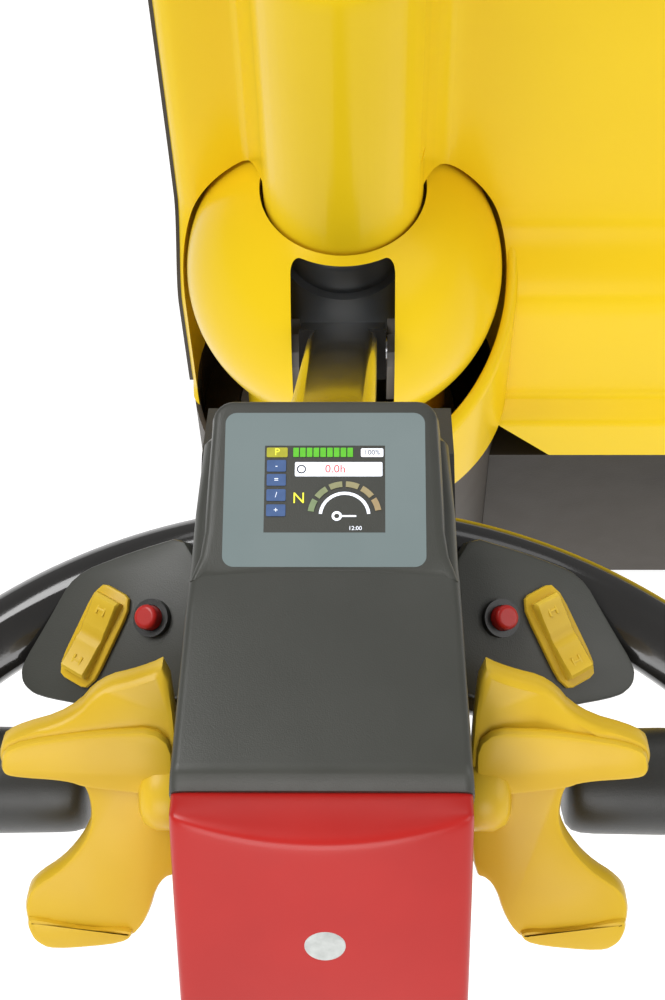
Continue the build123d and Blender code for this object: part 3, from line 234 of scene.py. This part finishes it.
# ---- floor, light and camera --------------------------------------------------------------
def build_stage():
    mesh = bpy.data.meshes.new("floor")
    work = bmesh.new()
    bmesh.ops.create_grid(work, x_segments=1, y_segments=1, size=9)
    work.to_mesh(mesh)
    work.free()
    floor = bpy.data.objects.new("floor", mesh)
    bpy.context.collection.objects.link(floor)
    material, tree, shader = new_material("pale_floor")
    tone = use_group(tree, PATCHES, Low=(0.50, 0.50, 0.50, 1), High=(0.53, 0.53, 0.53, 1), Scale=1.2)
    tree.links.new(tone.outputs["Colour"], shader.inputs["Base Color"])
    shader.inputs["Roughness"].default_value = 0.6
    shader.inputs["Emission Color"].default_value = (1, 1, 1, 1)
    shader.inputs["Emission Strength"].default_value = 0.85
    mesh.materials.append(material)


def area_light(name, place, target, size, energy, colour=(1, 1, 1)):
    light = bpy.data.lights.new(name, "AREA")
    light.shape = "RECTANGLE"
    light.size, light.size_y = size
    light.energy = energy
    light.color = colour
    made = bpy.data.objects.new(name, light)
    made.location = place
    made.rotation_euler = (target - place).to_track_quat("-Z", "Y").to_euler()
    bpy.context.collection.objects.link(made)


def build_lights():
    world = bpy.data.worlds.new("studio")
    world.use_nodes = True
    tree = world.node_tree
    lit = tree.nodes["Background"]
    lit.inputs["Color"].default_value = (1, 1, 1, 1)
    lit.inputs["Strength"].default_value = 0.30
    seen = add_node(tree, "ShaderNodeBackground", Color=(1, 1, 1, 1), Strength=1.0)
    blend = tree.nodes.new("ShaderNodeMixShader")
    tree.links.new(tree.nodes.new("ShaderNodeLightPath").outputs["Is Camera Ray"], blend.inputs[0])
    tree.links.new(lit.outputs[0], blend.inputs[1])
    tree.links.new(seen.outputs[0], blend.inputs[2])
    tree.links.new(blend.outputs[0], tree.nodes["World Output"].inputs["Surface"])
    bpy.context.scene.world = world
    head = at(0, -500, 900)
    area_light("key", at(-900, -300, 2600), head, (1.2, 0.8), 24)
    area_light("fill", at(1500, -900, 1900), head, (1.4, 1.4), 12)
    area_light("front", at(-200, -2300, 1500), head, (1.6, 1.0), 20)
    area_light("top_strip", at(200, 900, 2300), at(200, 0, 600), (1.8, 0.5), 4)


def build_camera():
    """Close view from above the driver's place, looking down along the tiller."""
    data = bpy.data.cameras.new("camera")
    data.sensor_fit = "VERTICAL"
    data.sensor_height = 36
    data.lens = 75.6
    data.clip_start = 0.05
    camera = bpy.data.objects.new("camera", data)
    camera.location = at(18.3, -940, 1877.5)
    down = math.radians(90 - 62)
    slight_left = Matrix.Rotation(math.radians(0.96), 3, "Y")
    camera.rotation_euler = (Matrix.Rotation(down, 3, "X") @ slight_left).to_euler()
    bpy.context.collection.objects.link(camera)
    bpy.context.scene.camera = camera


# ---- mesh helpers ---------------------------------------------------------------------------
def settle(name, work):
    """Mesh from a finished bmesh: doubles merged and faces turned outwards."""
    bmesh.ops.remove_doubles(work, verts=work.verts, dist=1e-6)
    bmesh.ops.recalc_face_normals(work, faces=work.faces)
    mesh = bpy.data.meshes.new(name)
    work.to_mesh(mesh)
    work.free()
    return mesh


def make_piece(name, work, body, slot_name, replaced=(), material=None, angle=35):
    """Finished piece from a bmesh, riding on a body."""
    return dress_piece(name, settle(name, work), body, slot_name, replaced, material, angle)


def dress_piece(name, mesh, body, slot_name, replaced=(), material=None, angle=35):
    for face in mesh.polygons:
        face.use_smooth = True
    mesh.set_sharp_from_angle(angle=math.radians(angle))
    piece = bpy.data.objects.new(name, mesh)
    bpy.context.collection.objects.link(piece)
    mesh.materials.append(material or MATERIALS[slot_name])
    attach(piece, body)
    if replaced:
        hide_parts(*replaced)
    return piece


def draw_out(work, rows, closed):
    """Skin drawn out from a first row of points through all the others; returns its end rows."""
    row = first = [work.verts.new(at(*point)) for point in rows[0]]
    pairs = list(zip(row, row[1:] + row[:1])) if closed else list(zip(row, row[1:]))
    edges = [work.edges.new(pair) for pair in pairs]
    for points in rows[1:]:
        grown = bmesh.ops.extrude_edge_only(work, edges=edges)["geom"]
        number = {corner: i for i, corner in enumerate(row)}
        row = [None] * len(points)
        for corner in grown:
            if isinstance(corner, bmesh.types.BMVert):
                i = next(number[edge.other_vert(corner)] for edge in corner.link_edges
                         if edge.other_vert(corner) in number)
                corner.co = at(*points[i])
                row[i] = corner
        fresh = set(row)
        edges = [edge for edge in grown
                 if isinstance(edge, bmesh.types.BMEdge) and fresh.issuperset(edge.verts)]
    return first, row


def loft(rings, closed_ends=True):
    """Closed body drawn out through rings of equal length."""
    work = bmesh.new()
    first, last = draw_out(work, rings, True)
    if closed_ends:
        work.faces.new(first)
        work.faces.new(last[::-1])
    return work


def turned(profile, steps=96, start=0.0, end=2 * math.pi, centre=(0, 0)):
    """Rings of a profile of (radius, height) turned about an upright axis."""
    return [[(centre[0] + r * math.cos(start + (end - start) * i / steps),
              centre[1] + r * math.sin(start + (end - start) * i / steps), z) for r, z in profile]
            for i in range(steps + 1)]


def rounded(points, rounds=2, keep=0.25):
    """Corner-cut a closed outline so that its corners turn into soft curves."""
    for _ in range(rounds):
        cut = []
        for (ax, ay), (bx, by) in zip(points, points[1:] + points[:1]):
            cut.append((ax + (bx - ax) * keep, ay + (by - ay) * keep))
            cut.append((bx - (bx - ax) * keep, by - (by - ay) * keep))
        points = cut
    return points


def shrink(points, amount):
    """Outline moved inwards by an amount along its own normals."""
    area = sum(a[0] * b[1] - b[0] * a[1] for a, b in zip(points, points[1:] + points[:1]))
    turn = 1 if area > 0 else -1
    out = []
    for before, here, after in zip(points[-1:] + points[:-1], points, points[1:] + points[:1]):
        along = Vector((after[0] - before[0], after[1] - before[1]))
        along.normalize()
        out.append((here[0] - along.y * amount * turn, here[1] + along.x * amount * turn))
    return out


def plate(outline, place, low, high, edge=2.0, bend=None):
    """Rounded-edge plate: an outline between two heights on a plane, given by place(u, v, n)."""
    levels = [(edge, low), (edge * 0.3, low + edge * 0.3), (0, low + edge),
              (0, high - edge), (edge * 0.3, high - edge * 0.3), (edge, high)]
    rings = []
    for inset, n in levels:
        ring = shrink(outline, inset)
        rings.append([place(u, v, n + (bend(u, v) if bend else 0)) for u, v in ring])
    return loft(rings)


def frame_of(origin, x_dir, z_dir):
    """Function that places (u, v, n) on a plane; u runs along x_dir and n along z_dir."""
    x = Vector(x_dir).normalized()
    z = Vector(z_dir).normalized()
    y = z.cross(x)
    start = Vector(origin)
    return lambda u, v, n: tuple(start + x * u + y * v + z * n)


# ---- hood -----------------------------------------------------------------------------------
HOOD_X = (-131.0, 555.0)
HOOD_Z = (269.0, 885.0)
HOOD_BACK = 200.0
HOOD_PROFILE = [(269, -40), (322, -40), (341, -22), (486, -22), (518, 28), (600, 31), (900, 33)]
COLUMN_R = 60.0
RECESS_R = 128.0           # hollow round the turret
RECESS_LOW = 260.0
EDGE_ROUND = 16.0


def on_profile(z):
    for (z0, y0), (z1, y1) in zip(HOOD_PROFILE, HOOD_PROFILE[1:]):
        if z <= z1:
            return y0 + (y1 - y0) * (z - z0) / (z1 - z0)
    return HOOD_PROFILE[-1][1]


def face_depth(z):
    """Front of the hood at a height, with its corners averaged into soft bends."""
    reach = 20 if z > 420 else 3.5
    samples = [on_profile(min(max(z + reach * (i / 6 - 1), 269), 900)) for i in range(13)]
    return sum(samples) / len(samples)


def blend_in(a, b, softness):
    """Smooth minimum: the nearer of two fronts with a fillet between them."""
    return -softness * math.log(math.exp(-a / softness) + math.exp(-b / softness))


def hood_front(x, z):
    face = face_depth(z)
    if abs(x) < COLUMN_R:
        column = -math.sqrt(COLUMN_R ** 2 - x * x)
    else:
        column = (abs(x) - COLUMN_R) * 3
    y = blend_in(face, column, 7 + 9 * min(max((x + 20) / 40, 0), 1)) if z > 560 else face
    for gap in (x - HOOD_X[0], HOOD_X[1] - x, HOOD_Z[1] - z):
        if gap < EDGE_ROUND:
            y += EDGE_ROUND - math.sqrt(EDGE_ROUND ** 2 - (EDGE_ROUND - max(gap, 0)) ** 2)
    return y


def spaced(low, high, step, extra=()):
    count = round((high - low) / step)
    values = [low + (high - low) * i / count for i in range(count + 1)]
    return sorted(set(values) | set(extra))


def hollow_out(piece, cutters):
    """Cut closed shapes out of a piece for good."""
    for cutter in cutters:
        cut = piece.modifiers.new("cut", "BOOLEAN")
        cut.operation = "DIFFERENCE"
        cut.solver = "EXACT"
        cut.object = cutter
    done = bpy.data.meshes.new_from_object(piece.evaluated_get(bpy.context.evaluated_depsgraph_get()))
    piece.modifiers.clear()
    piece.data = done
    for cutter in cutters:
        bpy.data.objects.remove(cutter)


def loose_solid(name, work):
    solid = bpy.data.objects.new(name, settle(name, work))
    bpy.context.collection.objects.link(solid)
    return solid


def build_hood():
    edge_steps = [HOOD_X[0] + d for d in (0.3, 1, 2.2, 4, 6.5, 10, 14)]
    edge_steps += [HOOD_X[1] - d for d in (0.3, 1, 2.2, 4, 6.5, 10, 14)]
    xs = spaced(*HOOD_X, 6.0, edge_steps + [x * 1.0 for x in range(-76, 100, 4)])
    zs = spaced(*HOOD_Z, 7.0, [316, 319, 322, 325, 329, 334, 338, 341, 344, 348]
                + [HOOD_Z[1] - d for d in (0.3, 1, 2.2, 4, 6.5, 10, 14)])
    work = bmesh.new()
    draw_out(work, [[(x, hood_front(x, z), z) for x in xs] for z in zs], False)
    rim = [edge for edge in work.edges if edge.is_boundary]
    grown = bmesh.ops.extrude_edge_only(work, edges=rim)["geom"]
    back = [part for part in grown if isinstance(part, bmesh.types.BMVert)]
    for corner in back:
        corner.co.y = at(0, HOOD_BACK, 0).y
    bmesh.ops.contextual_create(work, geom=[edge for edge in work.edges if set(back).issuperset(edge.verts)])
    hood = make_piece("hood_moulding", work, "chassis", "hood_yellow", ["hood"], angle=50)
    arc = [(RECESS_R * math.cos(math.radians(a)), 500 + RECESS_R * math.sin(math.radians(a)))
           for a in range(0, 91, 3)]
    bowl = [(0.001, RECESS_LOW), (RECESS_R, RECESS_LOW)] + arc
    recess = loose_solid("recess", loft(turned(bowl, 128), False))
    skirt_cut = loose_solid("skirt_cut", loft([
        [(-300, y, RECESS_LOW), (177, y, RECESS_LOW), (177, y, 269), (119.5, y, 332.5), (-300, y, 332.5)]
        for y in (-200, 205)]))
    hollow_out(hood, [recess, skirt_cut])
    for face in hood.data.polygons:
        face.use_smooth = True
    hood.data.set_sharp_from_angle(angle=math.radians(42))
    build_collar()
    # Thin dark strip standing just outside the hood's left edge, 13 to 37 mm behind its front face, from 345
    # to 880 mm up.
    strip_line = [(face_depth(z) + 13, z) for z in range(345, 880, 8)]
    outline = strip_line + [(y + 24, z) for y, z in strip_line[::-1]]
    make_piece("hood_left_dark_strip", loft([[(x, y, z) for y, z in outline] for x in (-133.6, -130.0)]), "chassis",
               "chassis_dark", angle=40)


def build_collar():
    """Rim of the hood that wraps the right and front of the turret, with a sloping top."""
    rings = []
    for i in range(61):
        turn = math.radians(-100 + 118 * i / 60)
        c, s = math.cos(turn), math.sin(turn)
        ring = []
        for r, sink in ((128.3, 0.0), (129.0, 1.2), (131.5, 2.2), (135.0, 1.4), (137.0, -1.8), (137.6, -7)):
            top = 500 + 0.56 / 0.83 * r * s
            ring.append((r * c, r * s, top + sink))
        ring.append((137.6 * c, 137.6 * s, 333))
        ring.append((128.3 * c, 128.3 * s, 333))
        rings.append(ring)
    make_piece("hood_collar", loft(rings), "chassis", "hood_yellow", angle=50)
    stub = [[(59.8 * math.cos(a), 59.8 * math.sin(a), z) for a in
             [math.radians(d) for d in range(0, 360, 4)]] for z in (600, 603, 660)]
    make_piece("column_foot", loft(stub), "chassis", "hood_yellow", angle=50)


# ---- tiller head ------------------------------------------------------------------------------
DISPLAY = frame_of((0, -516, 1090), (1, 0, 0), (0, -math.sin(math.radians(6)), math.cos(math.radians(6))))


def head_section(y, half, top, low=1035.5, corner=6.0):
    """Outline of the head body across X at one place along Y."""
    ring = [(-half, y, low), (half, y, low)]
    for i in range(7):
        a = math.radians(90 * i / 6)
        ring.append((half - corner + corner * math.cos(a), y, top - corner + corner * math.sin(a)))
    for i in range(1, 8):
        x = (half - corner) * (1 - i / 4)
        ring.append((x, y, top + 0.6 * (1 - (x / half) ** 2)))
    for i in range(7):
        a = math.radians(90 + 90 * i / 6)
        ring.append((-half + corner + corner * math.cos(a), y, top - corner + corner * math.sin(a)))
    return ring


def build_head():
    stations = [(-477, 51, 1072, 9), (-484, 54, 1077, 8), (-520, 56, 1080, 6), (-548, 56.6, 1083.5, 5),
                (-556, 57, 1086, 4.5), (-575, 57.7, 1088, 4), (-600, 58.6, 1090.2, 4),
                 (-625, 59.6, 1092.4, 4),
                (-641, 60.2, 1093.9, 4), (-644, 60.4, 1093.9, 4), (-646, 60.6, 1092.8, 4.2),
                (-649, 60.9, 1089.8, 4.4), (-651, 61.0, 1087.8, 4.6), (-651, 60.4, 1086.4, 4.2)]
    rings = [head_section(y, half, top, 1035.5, corner) for y, half, top, corner in stations]
    make_piece("head_body", loft(rings), "tiller", "head_grey", ["head_housing"], angle=32)
    half_outline = [(56.7, -41.6), (52.4, -30), (50.7, -18.7), (49.6, 8), (48.5, 31)]
    corner = [(39.6 + 9 * math.cos(math.radians(a)), 32.8 + 9 * math.sin(math.radians(a)))
              for a in range(10, 91, 16)]
    lower = [(56.7 * (1 - i / 8), -41.6 + 3.9 * math.sin(math.pi / 2 * i / 8)) for i in range(1, 8)]
    right = half_outline + corner
    outline = right + [(-x, y) for x, y in right[::-1]] + [(-x, y) for x, y in lower]
    outline += [(0, -37.6)] + lower[::-1]
    levels = [(-17, -1.6), (-6, -0.6), (-2.6, 0.0), (-1.0, 0.5), (-0.1, 1.5), (0.25, 2.9), (0.3, 4.4)]
    rings = []
    for n, inset in levels:
        rings.append([DISPLAY(u, v, n) for u, v in shrink(outline, inset)])
    make_piece("display_housing", loft(rings), "tiller", "head_grey", angle=38)


# ---- display ------------------------------------------------------------------------------------
def glow(name, colour, strength=0.9):
    """Lit part of the screen, a little uneven like a backlit panel."""
    material, tree, shader = new_material(name)
    dim = tuple(channel * 0.85 for channel in colour)
    tint = use_group(tree, PATCHES, Low=(*dim, 1), High=(*colour, 1), Scale=300).outputs["Colour"]
    tree.links.new(tint, shader.inputs["Base Color"])
    tree.links.new(tint, shader.inputs["Emission Color"])
    shader.inputs["Emission Strength"].default_value = strength
    shader.inputs["Roughness"].default_value = 0.25
    return material


SCREEN_LIFT = 0.62


def tile(name, x0, y0, x1, y1, material, lift=0.0, corner=0.6):
    """Small rounded tile on the screen, in millimetres from its middle."""
    outline = []
    for cx, cy, start in ((x1 - corner, y1 - corner, 0), (x0 + corner, y1 - corner, 90),
                          (x0 + corner, y0 + corner, 180), (x1 - corner, y0 + corner, 270)):
        for i in range(4):
            a = math.radians(start + 30 * i)
            outline.append((cx + corner * math.cos(a), cy + corner * math.sin(a)))
    rings = [[DISPLAY(u, v, SCREEN_LIFT + lift + n) for u, v in outline] for n in (0, 0.05)]
    return make_piece(name, loft(rings), "tiller", "screen", material=material)


def lettering(name, text, x, y, size, material, lift=0.1):
    curve = bpy.data.curves.new(name, "FONT")
    curve.body = text
    curve.size = size / 1000
    curve.align_x = "CENTER"
    curve.align_y = "CENTER"
    curve.extrude = 0.00002
    curve.resolution_u = 4
    source = bpy.data.objects.new(name + "_source", curve)
    bpy.context.collection.objects.link(source)
    mesh = bpy.data.meshes.new_from_object(source.evaluated_get(bpy.context.evaluated_depsgraph_get()))
    bpy.data.objects.remove(source)
    for vertex in mesh.vertices:
        u, v, n = vertex.co * 1000
        vertex.co = at(*DISPLAY(x + u, y + v, SCREEN_LIFT + lift + n))
    mesh.materials.clear()
    return dress_piece(name, mesh, "tiller", "screen", material=material)


def gauge_arc(name, x, y, inner, outer, start, end, material, lift=0.06, steps=16):
    ring_sets = []
    for i in range(steps + 1):
        a = math.radians(start + (end - start) * i / steps)
        ring_sets.append([DISPLAY(x + r * math.cos(a), y + r * math.sin(a), SCREEN_LIFT + lift + n)
                          for r, n in ((inner, 0), (outer, 0), (outer, 0.04), (inner, 0.04))])
    return make_piece(name, loft(ring_sets), "tiller", "screen", material=material)


def build_display():
    green = glow("screen_green", (0.10, 0.42, 0.03), 0.5)
    yellow = glow("screen_yellow", (0.75, 0.72, 0.06), 0.7)
    white = glow("screen_white", (0.75, 0.78, 0.85), 0.8)
    blue = glow("screen_blue", (0.05, 0.09, 0.20), 0.6)
    red = glow("screen_red", (0.55, 0.06, 0.05), 0.5)
    tile("park_tile", -25, 14.5, -16, 19, glow("screen_olive", (0.33, 0.32, 0.03), 0.5))
    lettering("park_letter", "P", -20.5, 16.8, 4.6, yellow)
    for i in range(9):
        tile(f"charge_bar_{i}", -13.6 + i * 2.9, 14.6, -11.2 + i * 2.9, 18.9, green, corner=0.3)
    tile("charge_value", 15.4, 14.6, 25, 18.6, white)
    lettering("charge_digits", "100%", 20.2, 16.6, 3.2, MATERIALS["screen"], 0.12)
    tile("hours_strip", -12.8, 5.6, 24.6, 12.2, white)
    lettering("hours_digits", "0.0h", 4.5, 8.9, 5.2, red, 0.12)
    gauge_arc("hours_clock", -10, 8.9, 1.5, 2.0, 0, 360, MATERIALS["screen"], 0.12)
    for i, y in enumerate((10.5, 4.0, -3.0, -10.0)):
        tile(f"mode_tile_{i}", -24.8, y - 2.7, -16.6, y + 2.7, blue)
        lettering(f"mode_mark_{i}", "-=/+"[i], -20.7, y, 3.4, white)
    lettering("gear_letter", "N", -11, -4.6, 7.0, yellow)
    for i in range(6):
        start = 172 - i * 28
        gauge_arc(f"gauge_step_{i}", 8.5, -12.5, 13.2, 15.8, start, start - 22,
                  glow(f"gauge_tint_{i}", (0.20 + 0.03 * i, 0.26, 0.14), 0.35))
    gauge_arc("gauge_line", 8.5, -12.5, 9.6, 11.0, 175, 5, white)
    gauge_arc("gauge_knob", 5.2, -12.6, 1.1, 2.2, 0, 360, white)
    tile("gauge_needle", 7.0, -13.0, 13.5, -12.2, white, corner=0.3)
    lettering("trip_digits", "12:00", 13, -18.2, 2.6, white)


# ---- belly button -------------------------------------------------------------------------------
def build_belly():
    columns = [(-60.6, 4.5), (-60.3, 2.6), (-59.3, 1.0), (-57, 0.2)]
    columns += [(-57 + 114 * i / 20, 0.0) for i in range(1, 20)]
    columns += [(-x, inset) for x, inset in columns[3::-1]]
    rings = []
    for x, inset in columns:
        swell = 1 - (x / 60.6) ** 2
        profile = [(-647, 1086.2 - inset), (-651.5, 1086.3 - inset), (-656 - 2 * swell, 1088.4 - inset),
                   (-661 - 9 * swell, 1090.6 - inset), (-663.5 - 10.5 * swell + inset, 1089.6 - inset),
                   (-666 - 10.5 * swell + inset, 1086.0), (-690 - 7 * swell + inset, 1046 + 2 * swell),
                   (-712 - 5 * swell + inset, 1006), (-725 - 3 * swell + inset, 980),
                   (-728 + inset, 972 + inset), (-722, 966 + inset), (-647, 966 + inset)]
        rings.append([(x, y, z) for y, z in profile])
    piece = make_piece("belly_shell", loft(rings), "belly", "signal_red", ["belly_button"], angle=70)
    subdivide = piece.modifiers.new("soften", "SUBSURF")
    subdivide.levels = subdivide.render_levels = 2
    sticker = frame_of((1.0, -699.0, 1040.5), (1, 0, 0), (0, -0.885, 0.466))
    disc = [[sticker(r * math.cos(math.radians(d)), r * math.sin(math.radians(d)), n)
             for d in range(0, 360, 10)] for r, n in ((8.4, 0), (8.4, 1.1), (8.0, 1.4), (0.01, 1.4))]
    pale = finish("sticker_film", (0.42, 0.44, 0.42), (0.62, 0.64, 0.62), (0.2, 0.3),
                  grain_scale=700, patch_scale=160)
    make_piece("check_sticker", loft(disc), "belly", "signal_red", material=pale)


# ---- throttle levers, grips, panels, loop ---------------------------------------------------------
LEVER_OUTLINE = [(62, 60), (78, 54), (95, 50.5), (106, 39), (134, 31.5), (137, 25), (136.5, 18), (133, 13.5),
                 (109, 10), (102, 6), (100, -10), (104, -23), (115, -38), (129, -48),
                  (132.5, -56), (132.5, -66),
                 (130, -76), (122, -82), (88, -79), (79, -67), (73, -45), (62, -40)]
LEVER_FACE = [(64, 36), (98, 35), (134, 30), (136.5, 18), (133, 14), (109, 10.5), (102, 7), (82, 4), (64, 2)]
LEVER_TOE = [(84, -70), (106, -70), (131, -62), (132, -68), (129.5, -76), (122, -81.5), (89, -78.5)]


def build_lever(side, hand):
    """Butterfly lever: a dished paddle for the thumb above and one for the fingers below."""
    lever = frame_of((0, -627, 1024), (1, 0, 0), (0, -0.83, 0.56))

    def bend(u, v):
        out = max(abs(u) - 84, 0) / 50
        return 3.0 * out * out * (1 if v > 0 else 0.5) - 0.5 * max(v - 36, 0)

    for label, shape, low, high, edge, keep in (("butterfly", LEVER_OUTLINE, -6.5, 6.0, 2.6, 0.25),
                                                ("lever_face", LEVER_FACE, 3.0, 9.5, 2.4, 0.22),
                                                ("lever_toe", LEVER_TOE, 2.0, 8.5, 2.2, 0.22)):
        outline = [(side * u, v) for u, v in rounded(shape, 2, keep)]
        replaced = [f"throttle_{hand}"] if label == "butterfly" else ()
        make_piece(f"{label}_{hand}", plate(outline, lever, low, high, edge, bend),
                   "throttle", "lever_yellow",
                   replaced, angle=40)
    boss = []
    for x, r in ((61, 14), (61, 16), (64, 17.5), (72, 17.5), (77, 15), (79, 11), (79, 0.01)):
        boss.append([(side * x, -627 + r * math.cos(math.radians(d)), 1024 + r * math.sin(math.radians(d)))
                     for d in range(0, 360, 12)])
    make_piece(f"lever_boss_{hand}", loft(boss), "throttle", "lever_yellow", angle=40)


WING_OUTLINE = [(-4, 33), (30, 29.5), (58, 24.5), (74, 5), (89.5, -13), (89.5, -21), (83, -27.5),
                (53, -37), (-4, -39)]
ROCKER_LEAN = 35.0



def build_panel(side, hand):
    tilt = math.radians(22)
    x_dir = Vector((math.cos(tilt), 0, -side * math.sin(tilt)))
    place = frame_of((side * 58, -548, 1040), x_dir, x_dir.cross(Vector((0, 0.94, 0.34))))
    outline = [(side * u, v) for u, v in rounded(WING_OUTLINE, 2, 0.2)]
    make_piece(f"panel_{hand}", plate(outline, place, -7.5, 0.4, 1.6), "tiller", "head_grey",
               [f"switch_panel_{hand}"], angle=40)
    web = [(side * u, v) for u, v in rounded([(0, 10), (60, 8), (72, -12), (70, -30), (40, -44), (0, -44)])]
    make_piece(f"panel_web_{hand}", plate(web, place, -24, -7.6, 2.0), "tiller", "black_plastic", angle=40)
    lean = math.radians(90 + side * ROCKER_LEAN)
    along = Vector(place(math.cos(lean), math.sin(lean), 0)) - Vector(place(0, 0, 0))
    switch = frame_of(place(side * 49, -5.5, 0), along, x_dir.cross(Vector((0, 0.94, 0.34))))
    base = rounded([(-23, -10), (23, -10), (23, 10), (-23, 10)], 2, 0.15)
    make_piece(f"rocker_base_{hand}", plate(base, switch, 0.3, 3.4, 1.0), "tiller", "lever_yellow",
               [f"rocker_frame_{hand}"], angle=40)
    rings = []
    for i in range(25):
        u = -18.6 + 37.2 * i / 24
        top = 6.0 + 2.6 * (u / 18.6) ** 2 + (0.8 if abs(u) > 3 else 0.2)
        fall = max(abs(u) - 16.8, 0) ** 2 * 0.55
        rings.append([switch(u, v, n) for v, n in ((-6.6, 3.6), (-6.6, top - fall - 1.0), (-5.8, top - fall),
                                                   (5.8, top - fall), (6.6, top - fall - 1.0), (6.6, 3.6))])
    make_piece(f"rocker_cap_{hand}", loft(rings), f"rock_{hand[0]}", "lever_yellow", [f"rocker_{hand}"],
               angle=40)
    for i, u in enumerate((-12.5, 12.5)):
        for j, (across, tall) in enumerate(((-1.8, 4.6), (1.8, 4.6), (0, 1.0))):
            bar = [(u - tall / 2, across - 0.5), (u + tall / 2, across - 0.5), (u + tall / 2, across + 0.5),
                   (u - tall / 2, across + 0.5)]
            if j == 2:
                bar = [(u + v, w) for v, w in ((-0.5, -1.6), (0.5, -1.6), (0.5, 1.6), (-0.5, 1.6))]
            make_piece(f"rocker_mark_{hand}_{i}_{j}", plate(bar, switch, 7.0, 8.3, 0.15), f"rock_{hand[0]}",
                       "lever_yellow")


LOOP_R = 298.0
LOOP_APEX = 125.0
LOOP_CORNER = 26.0
LOOP_HALF = 200.0


def build_loop():
    """Handle loop: a wide arc in front and two rounded shoulders down to the grips."""
    slope = math.radians(28)
    place = frame_of((0, -606, 979), (1, 0, 0), (0, -math.sin(slope), math.cos(slope)))
    section = rounded([(-35, -12), (-31, -6.5), (-14, -3.0), (-9.5, -4), (-0.5, -12), (-0.3, -28), (-5, -35),
                       (-16, -38), (-30, -35), (-35, -28)], 1)
    swing = math.asin((LOOP_HALF - LOOP_CORNER) / (LOOP_R - LOOP_CORNER))
    path = []
    for i in range(61):
        a = swing * (i / 30 - 1)
        path.append((LOOP_R * math.sin(a), LOOP_APEX - LOOP_R + LOOP_R * math.cos(a),
                     math.sin(a), math.cos(a)))
    turn_y = path[-1][1] - LOOP_CORNER * math.cos(swing)
    for i in range(1, 9):
        a = swing + (math.pi / 2 - swing) * i / 8
        path.append((LOOP_HALF - LOOP_CORNER + LOOP_CORNER * math.sin(a), turn_y + LOOP_CORNER * math.cos(a),
                     math.sin(a), math.cos(a)))
    path += [(LOOP_HALF, turn_y - (turn_y + 28) * i / 3, 1.0, 0.0) for i in range(1, 4)]
    left = [(-x, y, -nx, ny) for x, y, nx, ny in path[61:]][::-1]
    rings = [[place(x + nx * r, y + ny * r, n) for r, n in section] for x, y, nx, ny in left + path]
    make_piece("loop_band", loft(rings), "tiller", "black_plastic", ["handle_loop"], MATERIALS["loop_black"],
               angle=40)


def build_grip(side, hand):
    rings = []
    for x, scale in ((106, 0.30), (106.2, 0.62), (107.5, 0.82), (110, 0.93), (114, 0.98), (120, 1.0),
                     (150, 1.02),
                     (168, 1.0), (175.8, 0.98)):
        rings.append([(side * x, -606 + 23.3 * scale * math.cos(math.radians(d)),
                       979 + 25.3 * scale * math.sin(math.radians(d))) for d in range(0, 360, 8)])
    make_piece(f"hand_grip_{hand}", loft(rings), "tiller", "grip_rubber", [f"grip_{hand}"], angle=40)


bpy.context.scene.view_settings.view_transform = "Standard"
dress_frame()
build_stage()
build_lights()
build_camera()
build_hood()
build_head()
build_display()
build_belly()
build_loop()
for side, hand in MIRRORED:
    build_lever(side, hand)
    build_panel(side, hand)
    build_grip(side, hand)
